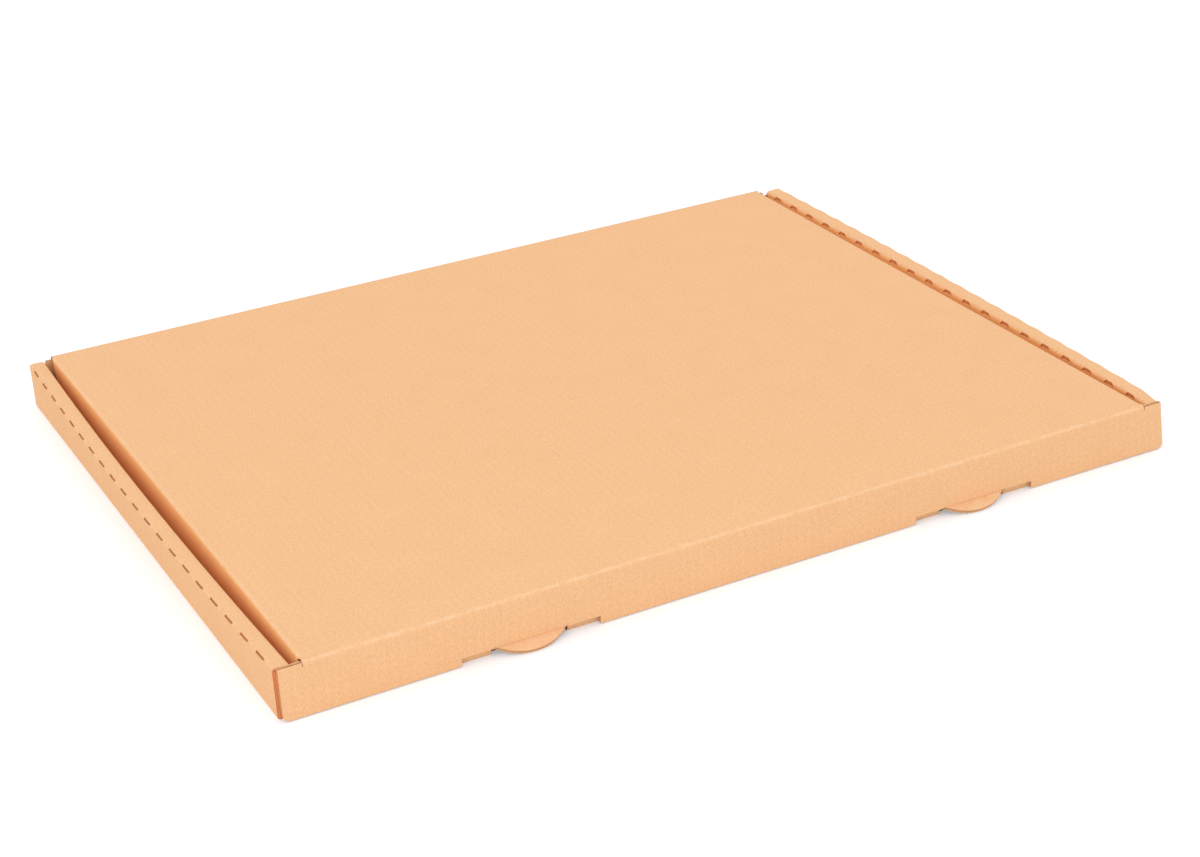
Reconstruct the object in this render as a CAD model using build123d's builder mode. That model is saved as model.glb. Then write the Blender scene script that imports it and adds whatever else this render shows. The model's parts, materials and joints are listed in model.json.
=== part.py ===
from build123d import *
import os
from math import cos, radians, sin, sqrt, tan

# Flat mailer box, die-cut from one sheet of corrugated board and folded shut, in millimetres.
# Origin at the centre of the base's underside, +X to the right, +Y to the back, +Z up.

# Board and folds
board = 1.5  # thickness of the corrugated board
fold_radius = 0.5  # inside radius of a creased fold
crease_gap = 0.2  # clearance round the rounded edge that turns in a crease
edge_gap = 0.3  # clearance of a free edge from the panel that it rests against

# Tray
box_length = 340.0  # left to right over the side walls
side_wall_length = 261.0  # front to back over a side wall
end_wall_proud = 1.0  # how far the front and back walls stand past the side walls' ends
wall_height = 18.0  # floor to the top of a roll-over side wall
hollow_clearance = 0.75  # room on each side of a corner flap inside a side wall
inner_wall_clearance = 0.7  # from the ends of an inner wall to the front and back walls
corner_flap_length = 58.0  # depth of a corner flap inside a side wall
corner_flap_taper = 4.0  # how much a corner flap narrows at its free end, top and bottom
corner_relief = 0.5  # gap of a corner flap from the base and from the roll-over

# Locking tabs of the inner walls
lock_tab_width = 40.0
lock_tab_spacing = 130.0
lock_slot_clearance = 0.25

# Perforated creases of the roll-over walls
perforation_pitch = 12.7
perforation_cut = 6.35
perforation_margin = 7.0  # least distance from a wall's end to the middle of a cut
outer_opening = 0.5  # width of a cut in the outer crease
inner_opening = 1.5  # width of a cut in the inner crease, which gapes more

# Lid
lid_side_gap = 1.6  # dark line between the roll-over and the lid's side flap
lid_side_depth = 13.0  # height of a side flap, from the lid's top
lid_side_taper = 8.0  # slant of a side flap's ends
lid_side_front = 3.0  # from the front crease to the start of a side flap
lid_side_back = 3.0  # from the back crease to the end of a side flap
lid_crease_inset = 0.5  # how far the front and back creases stop short of the side flaps' faces

# Front flap
flap_gap = 0.5  # from the front wall to the flap's inner face
flap_floor_gap = 0.4  # from the floor to the flap's lower edge
flap_side_inset = 0.7  # from the side walls' faces to the flap's ends
flap_corner = 2.2  # radius of the lower corners
ear_drop = 0.6  # from the lid's top to the top of the flap's ears
thumb_spacing = 171.0  # between the two thumb tabs
notch_width = 49.0
thumb_chord = 25.0  # width of a thumb tab at its root
thumb_depth = 5.0  # length of a thumb tab from its root
thumb_splay = 62.0  # degrees that a thumb tab is bent outwards
thumb_floor_gap = 0.2
slot_clearance = 1.0  # how much a slot in the tray is wider than a notch, on each end
slot_depth = 2.1  # reach of a slot from the front wall's face into the base
slot_height = 3.0  # floor to the top of a slot in the front wall

# Places that follow from the sizes
fold_middle = fold_radius + board / 2
fold_outside = fold_radius + board
half_length = box_length / 2
rollover_width = 3 * board + 2 * hollow_clearance
inner_face = half_length - rollover_width
tray_depth = side_wall_length + 2 * end_wall_proud
wall_middle_y = tray_depth / 2 - board / 2
corner_flap_x = half_length - rollover_width / 2
lid_top = wall_height + board
crease_z = lid_top - board / 2
lid_face = inner_face - lid_side_gap
lid_crease_half = lid_face - lid_crease_inset
back_crease_y = tray_depth / 2 - board / 2
front_crease_y = -(tray_depth / 2 + flap_gap + board / 2)
end_wall_half = inner_face - edge_gap
end_wall_top = lid_top - board - crease_gap
splay = radians(thumb_splay)
thumb_root_z = thumb_floor_gap + thumb_depth * cos(splay) + board / 2 * sin(splay)
thumb_radius = ((thumb_chord / 2) ** 2 + thumb_depth**2) / (2 * thumb_depth)
thumb_tip = (front_crease_y - thumb_depth * sin(splay), thumb_root_z - thumb_depth * cos(splay))
cut_depth = sqrt(2) * fold_outside - fold_radius + edge_gap
perforation_count = int((side_wall_length - 2 * perforation_margin) / perforation_pitch) + 1
inner_wall_half = tray_depth / 2 - board - inner_wall_clearance
inner_wall_x = inner_face + board / 2
flap_half = half_length - flap_side_inset


with BuildPart() as tray:
    # Base and both roll-over side walls: one bent strip from foot to foot
    with BuildSketch(Plane.XZ):
        with BuildLine():
            FilletPolyline(
                (-inner_wall_x, board + edge_gap),
                (-inner_wall_x, wall_height - board / 2),
                (-half_length + board / 2, wall_height - board / 2),
                (-half_length + board / 2, board / 2),
                (half_length - board / 2, board / 2),
                (half_length - board / 2, wall_height - board / 2),
                (inner_wall_x, wall_height - board / 2),
                (inner_wall_x, board + edge_gap),
                radius=fold_middle,
            )
        trace(line_width=board)
    extrude(amount=side_wall_length / 2, both=True)

    # The inner walls are shorter than the roll-over, to stand between the front and back walls
    inner_wall_room = wall_height - fold_outside - board
    with BuildSketch(Plane.XY.offset(board)):
        with GridLocations(2 * inner_wall_x, side_wall_length, 2, 2):
            Rectangle(board + 2 * edge_gap, side_wall_length - 2 * inner_wall_half)
    extrude(amount=inner_wall_room, mode=Mode.SUBTRACT)

    # Front and back walls, folded up from the base
    with BuildSketch(Plane.YZ):
        with BuildLine():
            FilletPolyline(
                (-wall_middle_y, end_wall_top),
                (-wall_middle_y, board / 2),
                (wall_middle_y, board / 2),
                (wall_middle_y, end_wall_top),
                radius=fold_middle,
            )
        trace(line_width=board)
    extrude(amount=end_wall_half, both=True)

    # Corner flaps, folded from the ends of the front and back walls into the hollow side walls
    corner_flap_low = board + corner_relief
    corner_flap_high = wall_height - board - corner_relief
    corner_flap_end = wall_middle_y - corner_flap_length
    for end in (-1, 1):
        with BuildSketch(Plane.XY.offset(corner_flap_low)):
            with BuildLine():
                FilletPolyline(
                    (-corner_flap_x, end * corner_flap_end),
                    (-corner_flap_x, end * wall_middle_y),
                    (corner_flap_x, end * wall_middle_y),
                    (corner_flap_x, end * corner_flap_end),
                    radius=fold_middle,
                )
            trace(line_width=board)
        extrude(amount=corner_flap_high - corner_flap_low)
    flap_tips = tray.edges().filter_by(Axis.X).filter_by(
        lambda edge: abs(abs(edge.center().Y) - corner_flap_end) < edge_gap / 2
    )
    chamfer(flap_tips, corner_flap_taper)

    # Slots in the base, and the inner walls' locking tabs standing in them
    with BuildSketch():
        with GridLocations(2 * inner_wall_x, lock_tab_spacing, 2, 2):
            Rectangle(board + 2 * lock_slot_clearance, lock_tab_width + 2 * lock_slot_clearance)
    extrude(amount=board, mode=Mode.SUBTRACT)
    with BuildSketch(Plane.XY.offset(lock_slot_clearance)):
        with GridLocations(2 * inner_wall_x, lock_tab_spacing, 2, 2):
            Rectangle(board, lock_tab_width)
    extrude(amount=board + edge_gap)

    # Slots for the thumb tabs, along the fold between the base and the front wall
    with BuildSketch(Plane.XY):
        with Locations((0, -tray_depth / 2)):
            with GridLocations(thumb_spacing, 0, 2, 1):
                Rectangle(notch_width + 2 * slot_clearance, 2 * slot_depth)
    extrude(amount=slot_height, mode=Mode.SUBTRACT)

    # Perforated creases: a row of cuts through each fold of the roll-over
    for side in (-1, 1):
        for crease_x, lean, opening in ((half_length, side, outer_opening), (inner_face, -side, inner_opening)):
            corner = (side * crease_x, 0, wall_height)
            with BuildSketch(Plane(corner, x_dir=(0, 1, 0), z_dir=(lean, 0, 1))):
                with GridLocations(perforation_pitch, 0, perforation_count, 1):
                    Rectangle(perforation_cut, opening)
            extrude(amount=-cut_depth, mode=Mode.SUBTRACT)


with BuildPart() as lid:
    # Panel, with a rounded back edge that turns in its crease and a hollow front edge
    with BuildSketch(Plane.YZ):
        with Locations((back_crease_y, crease_z)):
            Rectangle(back_crease_y - front_crease_y, board, align=(Align.MAX, Align.CENTER))
            Circle(board / 2)
        with Locations((front_crease_y, crease_z)):
            Circle(board / 2 + crease_gap, mode=Mode.SUBTRACT)
            Rectangle(
                board + 2 * crease_gap,
                board / 2 + crease_gap,
                align=(Align.CENTER, Align.MAX),
                mode=Mode.SUBTRACT,
            )
    extrude(amount=lid_crease_half, both=True)

    # Side flaps, on folds that stop short of both creases
    side_front = front_crease_y + lid_side_front
    side_back = back_crease_y - lid_side_back
    lid_flat_half = lid_face - fold_outside
    with BuildSketch(Plane.XY.offset(lid_top)):
        with Locations((-lid_flat_half, side_front), (lid_flat_half, side_front)):
            Rectangle(2 * fold_outside, side_back - side_front, align=(Align.CENTER, Align.MIN))
    extrude(amount=-board, mode=Mode.SUBTRACT)
    with BuildSketch(Plane.XZ.offset(-side_front)):
        with BuildLine():
            FilletPolyline(
                (-lid_face + board / 2, lid_top - lid_side_depth),
                (-lid_face + board / 2, crease_z),
                (lid_face - board / 2, crease_z),
                (lid_face - board / 2, lid_top - lid_side_depth),
                radius=fold_middle,
            )
        trace(line_width=board)
    extrude(amount=side_front - side_back)
    flap_corners = lid.edges().filter_by(Axis.X).group_by(Axis.Z)[0]
    chamfer(flap_corners, lid_side_taper, lid_side_taper / 2)


with BuildPart() as thumb_tab:
    # Round tab bent outwards from the notch's line
    thumb_root_top = thumb_root_z + fold_middle * tan(splay / 2) + edge_gap
    with BuildSketch(Plane.YZ):
        with BuildLine():
            FilletPolyline(
                (front_crease_y, thumb_root_top),
                (front_crease_y, thumb_root_z),
                thumb_tip,
                radius=fold_middle,
            )
        trace(line_width=board)
    extrude(amount=thumb_chord / 2, both=True)
    thumb_root = (0, front_crease_y, thumb_root_z)
    with BuildSketch(Plane(thumb_root, x_dir=(1, 0, 0), z_dir=(0, -cos(splay), sin(splay)))):
        with Locations((0, thumb_radius - thumb_depth)):
            Circle(thumb_radius)
    extrude(amount=thumb_depth, both=True, mode=Mode.INTERSECT)


with BuildPart() as front_flap:
    # Panel with ears over the side walls' ends, round lower corners and two notches
    ear_top = lid_top - ear_drop
    with BuildSketch(Plane.XZ.offset(-front_crease_y)) as outline:
        with Locations((0, flap_floor_gap)):
            Rectangle(2 * flap_half, ear_top - flap_floor_gap, align=(Align.CENTER, Align.MIN))
        fillet(outline.vertices().group_by(Axis.Z)[0], flap_corner)
        with Locations((0, ear_top)):
            Rectangle(2 * lid_crease_half, crease_z - ear_top, align=(Align.CENTER, Align.MIN))
        with Locations((0, flap_floor_gap)):
            with GridLocations(thumb_spacing, 0, 2, 1):
                Rectangle(notch_width, 2 * (thumb_root_z - flap_floor_gap), mode=Mode.SUBTRACT)
    extrude(amount=board / 2, both=True)

    # Rounded top edge that turns in the lid's front crease
    with BuildSketch(Plane.YZ):
        with Locations((front_crease_y, crease_z)):
            Circle(board / 2)
    extrude(amount=lid_crease_half, both=True)

    with GridLocations(thumb_spacing, 0, 2, 1):
        add(thumb_tab.part)


os.makedirs("parts", exist_ok=True)
tray.part.label = "tray"
export_step(tray.part, "parts/tray.step")
lid.part.label = "lid"
export_step(lid.part, "parts/lid.step")
front_flap.part.label = "front_flap"
export_step(front_flap.part, "parts/front_flap.step")
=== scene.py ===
"""Looks of a flat mailer box: die-cut sheets of corrugated board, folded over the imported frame.

Each panel is drawn in the flat as it comes off the die, cut to a mesh of two liners on a fluted
medium, and then rolled round its creases into place. Lengths are in metres.
"""

import json
import logging
import math
from dataclasses import dataclass, field
from enum import Enum
from typing import Callable, ClassVar, Sequence

import bpy
import numpy as np
from mathutils import Matrix, Vector
from mathutils.geometry import delaunay_2d_cdt


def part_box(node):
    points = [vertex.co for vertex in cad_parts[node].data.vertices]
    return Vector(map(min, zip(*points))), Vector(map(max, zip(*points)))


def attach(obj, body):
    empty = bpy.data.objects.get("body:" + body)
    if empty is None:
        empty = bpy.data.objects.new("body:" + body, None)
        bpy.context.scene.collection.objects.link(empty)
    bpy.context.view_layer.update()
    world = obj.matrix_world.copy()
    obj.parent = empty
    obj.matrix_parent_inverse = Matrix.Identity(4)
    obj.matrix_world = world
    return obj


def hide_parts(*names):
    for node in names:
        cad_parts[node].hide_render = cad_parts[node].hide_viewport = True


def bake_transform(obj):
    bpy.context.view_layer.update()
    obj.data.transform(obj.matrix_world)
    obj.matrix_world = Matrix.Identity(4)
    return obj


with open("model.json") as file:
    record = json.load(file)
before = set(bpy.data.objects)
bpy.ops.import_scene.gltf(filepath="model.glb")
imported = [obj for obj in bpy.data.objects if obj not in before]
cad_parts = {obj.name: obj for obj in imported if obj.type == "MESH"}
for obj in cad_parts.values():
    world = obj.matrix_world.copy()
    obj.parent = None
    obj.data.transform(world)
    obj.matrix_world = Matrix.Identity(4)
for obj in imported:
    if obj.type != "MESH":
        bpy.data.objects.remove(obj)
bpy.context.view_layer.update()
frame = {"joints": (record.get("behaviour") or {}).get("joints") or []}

log = logging.getLogger("mailer_box")

MM = 0.001
FULL_TURN = 2 * math.pi
QUARTER_TURN = math.pi / 2
# Turn and stretch of the three sets of fibres in the paper
STRANDS = ((0.1, 0.5), (1.2, 0.6), (2.2, 0.6))
# Octaves of each noise in the paper, noise that becomes 0 and noise that becomes 1
FIBRE_NOISE = (2.0, 0.36, 0.64)
SPECK_NOISE = (1.0, 0.665, 0.75)
WEAR_NOISE = (2.0, 0.3, 0.6)
MOTTLE_NOISE = (3.0, 0.3, 0.7)
NOISE_ROUGHNESS = 0.6
# Cells to the metre of the noise that lets the flute bars drift, and how far they drift
DRIFT_SCALE = 30.0
DRIFT_TURN = 2.0

Flat = tuple[float, float]
Loop = list[Flat]
Colour = tuple[float, float, float]


class Surface(Enum):
    """What a face of the board shows. The value is its material slot."""

    LINER = 0
    CUT_EDGE = 1
    MEDIUM = 2
    # Cut faces where the medium is crushed shut; their darker, redder colour is partly painted shade for the
    # cuts and seams that lie in shade.
    CRUSHED_AND_SHADED = 3
    WALL_END = 4


@dataclass(frozen=True)
class Board:
    """Single-wall corrugated board: two liners on a fluted medium.

    Attributes:
        thickness: Over both liners.
        liner: Thickness of one liner.
        medium: Thickness of the fluted sheet.
        flute_pitch: From one flute to the next.
        flute_reach: How far behind a cut edge the flutes are modelled.
        recess: How far the flutes stand back from a cut edge.
        fold_radius: Radius of the middle of the board in a creased fold.
        crease_radius: The same in the sharper creases that the lid and the front flap turn on.
        lid_fold_radius: The same in the folds along the lid's sides.
        crush_reach: How far beside a sharp fold the board is still crushed thinner.
    """

    thickness: float
    liner: float = 0.28 * MM
    medium: float = 0.2 * MM
    flute_pitch: float = 3.2 * MM
    flute_reach: float = 5.0 * MM
    recess: float = 0.25 * MM
    fold_radius: float = 0.35 * MM
    crease_radius: float = 0.95 * MM
    lid_fold_radius: float = 0.35 * MM
    crush_reach: float = 1.2 * MM

    @property
    def half(self) -> float:
        """Half the thickness, from the middle of the board to a face."""
        return self.thickness / 2

    @property
    def wave(self) -> float:
        """Amplitude of the fluted medium's middle."""
        return self.half - self.liner - self.medium / 2


@dataclass(frozen=True)
class Sizes:
    """Sizes of the folded box that its panels share, from the frame and the part's source.

    Attributes:
        half_length: From the middle to a side wall's outer face.
        half_depth: From the middle to the front and back walls' outer faces.
        wall_height: From the floor to the top of a roll-over wall.
        lid_top: From the floor to the lid's upper face.
        lid_face: From the middle to a side flap's outer face.
        lid_low: From the floor to a side flap's lower edge.
        flap_half: From the middle to an end of the front flap.
        flap_low: From the floor to the front flap's lower edge.
        back_crease: Y of the lid's back crease.
        front_crease: Y of the lid's front crease.
        crease_z: Height of both creases.
        end_wall_proud: How far the front and back walls stand past the side walls' ends.
        inner_wall_clearance: From the ends of an inner wall to the front and back walls.
        hollow_clearance: Room on each side of a corner flap inside a side wall.
        edge_gap: From a free edge to the panel that it rests against.
        slit: Width of a plain cut.
        lid_crease_inset: How far the creases stop short of the side flaps' faces.
        left_inset: How far the lid's left side lies in from its place.
        right_inset: The same on the right, at the back.
        right_skew: How much further in the right side lies at the front.
        inset_reach: How far from the lid's sides the panel gives way.
        thumb_spacing: Between the two thumb tabs.
        notch_width: Width of the notch that a thumb tab hangs in.
        thumb_chord: Width of a thumb tab at its root.
    """

    half_length: float
    half_depth: float
    wall_height: float
    lid_top: float
    lid_face: float
    lid_low: float
    flap_half: float
    back_crease: float
    front_crease: float
    crease_z: float
    flap_low: float = 0.4 * MM
    end_wall_proud: float = 1.0 * MM
    inner_wall_clearance: float = 0.7 * MM
    hollow_clearance: float = 0.75 * MM
    edge_gap: float = 0.3 * MM
    slit: float = 0.25 * MM
    lid_crease_inset: float = 0.5 * MM
    left_inset: float = 0.65 * MM
    right_inset: float = 1.15 * MM
    right_skew: float = 1.9 * MM
    inset_reach: float = 60.0 * MM
    thumb_spacing: float = 171.0 * MM
    notch_width: float = 49.0 * MM
    thumb_chord: float = 25.0 * MM

    @classmethod
    def from_frame(cls) -> "Sizes":
        """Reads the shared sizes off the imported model.

        Returns:
            The sizes of the box.
        """
        tray_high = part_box("tray")[1]
        lid_low, lid_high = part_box("lid")
        joints = {joint["name"]: joint["pos_m"] for joint in frame["joints"]}
        return cls(
            half_length=tray_high.x,
            half_depth=tray_high.y,
            wall_height=tray_high.z,
            lid_top=lid_high.z,
            lid_face=lid_high.x,
            lid_low=lid_low.z,
            flap_half=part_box("front_flap")[1].x,
            back_crease=joints["lid_crease"][1],
            front_crease=joints["flap_crease"][1],
            crease_z=joints["lid_crease"][2],
        )

    @property
    def board(self) -> float:
        """Thickness of the board: the lid lies on the roll-over walls' level."""
        return self.lid_top - self.wall_height

    @property
    def side_half(self) -> float:
        """From the middle to an end of a side wall."""
        return self.half_depth - self.end_wall_proud

    @property
    def inner_face(self) -> float:
        """From the middle to a roll-over's inner face."""
        return self.half_length - 3 * self.board - 2 * self.hollow_clearance

    @property
    def end_half(self) -> float:
        """From the middle to an end of the front and back walls."""
        return self.inner_face - self.edge_gap

    @property
    def crease_half(self) -> float:
        """From the middle to an end of the lid's front and back creases."""
        return self.lid_face - self.lid_crease_inset

    def drawn_in(self, u: np.ndarray, y: np.ndarray | float) -> np.ndarray:
        """How far the lid's sides lie in from their places, more on the right and at the front.

        Args:
            u: Places across the lid.
            y: Places along the lid.

        Returns:
            The shifts along X.
        """
        rise = np.clip(1 - (self.crease_half - np.abs(u)) / self.inset_reach, 0, 1)
        frontness = (self.back_crease - y) / (self.back_crease - self.front_crease)
        right = self.right_inset + self.right_skew * frontness
        return rise * np.where(u > 0, -right, self.left_inset)


@dataclass(frozen=True)
class Fold:
    """One crease across a strip of board.

    Attributes:
        start: Run along the flat strip where the bend starts.
        turn: Angle of the bend, positive towards the strip's upper face.
        radius: Radius of the board's middle in the bend.
        board: The board.
        CRUSHED_SHARE: Share of a sharp bend's radius that the crushed inner half takes up.
    """

    start: float
    turn: float
    radius: float
    board: Board

    CRUSHED_SHARE: ClassVar[float] = 0.85

    @property
    def length(self) -> float:
        """Run of flat board taken up by the bend."""
        return self.radius * abs(self.turn)

    @property
    def end(self) -> float:
        """Run along the flat strip where the bend ends."""
        return self.start + self.length

    @property
    def middle(self) -> float:
        """Run along the flat strip at the bend's middle."""
        return self.start + self.length / 2

    def crush(self, run: np.ndarray, lift: np.ndarray) -> np.ndarray:
        """Thins the inner half of the board where the bend is sharper than the board allows.

        Args:
            run: Distances along the flat strip.
            lift: Heights above the board's middle.

        Returns:
            The heights, drawn towards the board's middle inside the bend.
        """
        room = min(1.0, self.CRUSHED_SHARE * self.radius / self.board.half)
        outside = np.maximum(np.maximum(self.start - run, run - self.end), 0)
        share = (1 - room) * np.clip(1 - outside / self.board.crush_reach, 0, 1)
        return np.where(lift * self.turn > 0, lift * (1 - share), lift)

    def rows(self, steps: int, support: float) -> list[float]:
        """Runs where a mesh needs rows to follow the bend.

        Args:
            steps: Pieces that the bend is cut into.
            support: Distance of the outermost rows from the bend, in the flat panels beside it.

        Returns:
            The runs, in order.
        """
        inside = [self.start + self.length * step / steps for step in range(steps + 1)]
        return [self.start - support, *inside, self.end + support]


@dataclass(frozen=True)
class FoldChain:
    """The folds of a strip that starts flat at its own origin.

    Attributes:
        folds: The folds, in order along the strip.
        length: Run of the whole flat strip.
    """

    folds: tuple[Fold, ...]
    length: float

    @classmethod
    def through(cls, corners: Sequence[Flat], radii: Sequence[float], board: Board) -> "FoldChain":
        """Works out the flat strip that folds along a line of corners.

        Args:
            corners: Sharp corners of the board's middle after folding, from the origin.
            radii: Radius of the board's middle in each bend.
            board: The board.

        Returns:
            The chain of folds.
        """
        points = [Vector(corner) for corner in corners]
        legs = [after - before for before, after in zip(points, points[1:])]
        folds = []
        run = legs[0].length
        for leg, next_leg, radius in zip(legs, legs[1:], radii):
            turn = -leg.angle_signed(next_leg)
            tangent = radius * math.tan(abs(turn) / 2)
            fold = Fold(run - tangent, turn, radius, board)
            folds.append(fold)
            run = fold.end - tangent + next_leg.length
        return cls(tuple(folds), run)

    def roll(self, run: np.ndarray, lift: np.ndarray) -> tuple[np.ndarray, np.ndarray]:
        """Rolls points of the flat strip round its folds.

        Args:
            run: Distances along the flat strip.
            lift: Heights above the board's middle.

        Returns:
            Places along and above the strip's first panel.
        """
        along, up, heading = (np.zeros_like(run) for _ in range(3))
        for fold in self.folds:
            lift = fold.crush(run, lift)
        walked = None
        for fold in self.folds:
            straight = np.minimum(run, fold.start)
            if walked is not None:
                straight = np.clip(run, walked, fold.start) - walked
            along += straight * np.cos(heading)
            up += straight * np.sin(heading)
            turned = np.clip(run - fold.start, 0, fold.length) / fold.radius
            turned = math.copysign(1, fold.turn) * turned
            side = math.copysign(fold.radius, fold.turn)
            along += side * (np.sin(heading + turned) - np.sin(heading))
            up += side * (np.cos(heading) - np.cos(heading + turned))
            heading = heading + turned
            walked = fold.end
        rest = np.maximum(run - walked, 0)
        along += rest * np.cos(heading) - lift * np.sin(heading)
        up += rest * np.sin(heading) + lift * np.cos(heading)
        return along, up


@dataclass(frozen=True)
class CutEdge:
    """A cut edge of the flat sheet that lays the flutes open.

    Attributes:
        start: Its first end, with the lesser u.
        end: Its last end.
        inward: 1 if the board lies on the side of greater v, else -1.
    """

    start: Flat
    end: Flat
    inward: int


class Graph:
    """A node tree that is written from left to right.

    Attributes:
        tree: The tree.
        MIX_INPUTS: Numbers of a Mix node's factor and its two colours.
        MIX_OUTPUT: Number of its mixed colour.
    """

    MIX_INPUTS: ClassVar[tuple[int, ...]] = (0, 6, 7)
    MIX_OUTPUT: ClassVar[int] = 2

    def __init__(self, tree: bpy.types.NodeTree) -> None:
        """Takes a tree and leaves its nodes as they are.

        Args:
            tree: The tree to write to.
        """
        self.tree = tree

    def add(self, kind: str, inputs: dict | None = None, **settings: object) -> bpy.types.Node:
        """Adds one node.

        Args:
            kind: The node's type.
            inputs: Values or sockets by the input's name or number.
            **settings: Properties of the node.

        Returns:
            The node.
        """
        node = self.tree.nodes.new(kind)
        for name, value in settings.items():
            setattr(node, name, value)
        for key, value in (inputs or {}).items():
            if isinstance(value, bpy.types.NodeSocket):
                self.tree.links.new(value, node.inputs[key])
            else:
                node.inputs[key].default_value = value
        return node

    def math(self, operation: str, *terms: object) -> bpy.types.NodeSocket:
        """Adds a Math node.

        Args:
            operation: The node's operation.
            *terms: Its values or sockets, in order.

        Returns:
            The result's socket.
        """
        return self.add("ShaderNodeMath", dict(enumerate(terms)), operation=operation).outputs[0]

    def mix(self, factor: object, first: object, second: object) -> bpy.types.NodeSocket:
        """Mixes two colours.

        Args:
            factor: Share of the second colour.
            first: Colour or socket at 0.
            second: Colour or socket at 1.

        Returns:
            The mixed colour's socket.
        """
        terms = [(*term, 1.0) if isinstance(term, tuple) else term for term in (factor, first, second)]
        inputs = dict(zip(self.MIX_INPUTS, terms))
        return self.add("ShaderNodeMix", inputs, data_type="RGBA").outputs[self.MIX_OUTPUT]

    def ramp(self, value: bpy.types.NodeSocket, low: float, high: float) -> bpy.types.NodeSocket:
        """Stretches a value so that low becomes 0 and high becomes 1.

        Args:
            value: The value's socket.
            low: Value that becomes 0.
            high: Value that becomes 1.

        Returns:
            The stretched value's socket.
        """
        inputs = {"Value": value, "From Min": low, "From Max": high}
        return self.add("ShaderNodeMapRange", inputs, interpolation_type="SMOOTHSTEP").outputs["Result"]

    def noise(self, vector: bpy.types.NodeSocket, scale: object, detail: float) -> bpy.types.NodeSocket:
        """Adds a noise.

        Args:
            vector: Where it is read.
            scale: Cells to the metre.
            detail: Octaves.

        Returns:
            The noise's socket, about 0.5.
        """
        inputs = {"Vector": vector, "Scale": scale, "Detail": detail, "Roughness": NOISE_ROUGHNESS}
        return self.add("ShaderNodeTexNoise", inputs).outputs[0]


def new_group(
    name: str, inputs: dict[str, tuple[str, object]], outputs: Sequence[str]
) -> tuple[Graph, dict, dict]:
    """Starts a shader node group with named inputs and value outputs.

    Args:
        name: The group's name.
        inputs: Socket type and default value by input name.
        outputs: Names of the outputs, each a value.

    Returns:
        The group's graph, its inputs' sockets and its outputs' sockets by name.
    """
    tree = bpy.data.node_groups.new(name, "ShaderNodeTree")
    for label, (kind, default) in inputs.items():
        socket = tree.interface.new_socket(label, in_out="INPUT", socket_type=kind)
        if default is not None:
            socket.default_value = default
    for label in outputs:
        tree.interface.new_socket(label, in_out="OUTPUT", socket_type="NodeSocketFloat")
    graph = Graph(tree)
    entry = graph.add("NodeGroupInput").outputs
    leave = graph.add("NodeGroupOutput").inputs
    return graph, {label: entry[label] for label in inputs}, {label: leave[label] for label in outputs}


def paper_group() -> bpy.types.NodeTree:
    """Builds the group for paper made of long fibres.

    Returns:
        A group that puts out fibres, specks, mottling and wear, each from 0 to 1.
    """
    inputs = {
        "Vector": ("NodeSocketVector", None),
        "Fibre Scale": ("NodeSocketFloat", 1600.0),
        "Speck Scale": ("NodeSocketFloat", 1900.0),
        "Mottle Scale": ("NodeSocketFloat", 60.0),
        "Wear Scale": ("NodeSocketFloat", 170.0),
    }
    graph, entry, leave = new_group("paper_fibres", inputs, ("Fibres", "Specks", "Mottle", "Wear"))
    detail, low, high = FIBRE_NOISE
    strands = []
    for turn, stretch in STRANDS:
        mapping = {"Vector": entry["Vector"], "Rotation": (0, 0, turn), "Scale": (1, stretch, 1)}
        turned = graph.add("ShaderNodeMapping", mapping, vector_type="POINT").outputs[0]
        strands.append(graph.noise(turned, entry["Fibre Scale"], detail))
    both = graph.math("ADD", strands[0], strands[1])
    mean = graph.math("DIVIDE", graph.math("ADD", both, strands[2]), float(len(STRANDS)))
    graph.tree.links.new(graph.ramp(mean, low, high), leave["Fibres"])
    for label, output, (detail, low, high) in (
        ("Speck Scale", "Specks", SPECK_NOISE),
        ("Wear Scale", "Wear", WEAR_NOISE),
        ("Mottle Scale", "Mottle", MOTTLE_NOISE),
    ):
        noise = graph.noise(entry["Vector"], entry[label], detail)
        graph.tree.links.new(graph.ramp(noise, low, high), leave[output])
    return graph.tree


def flute_group() -> bpy.types.NodeTree:
    """Builds the group for the flutes that show through a liner as faint bars.

    Returns:
        A group that puts out bars from 0 to 1, across the sheet's u.
    """
    inputs = {"Vector": ("NodeSocketVector", None), "Pitch": ("NodeSocketFloat", Board.flute_pitch)}
    graph, entry, leave = new_group("flute_bars", inputs, ("Bars",))
    across = graph.add("ShaderNodeSeparateXYZ", {"Vector": entry["Vector"]}).outputs["X"]
    drift = graph.math("MULTIPLY", graph.noise(entry["Vector"], DRIFT_SCALE, 1.0), DRIFT_TURN)
    phase = graph.math("MULTIPLY", graph.math("DIVIDE", across, entry["Pitch"]), FULL_TURN)
    wave = graph.math("SINE", graph.math("ADD", phase, drift))
    graph.tree.links.new(graph.math("MULTIPLY_ADD", wave, 0.5, 0.5), leave["Bars"])
    return graph.tree


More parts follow.
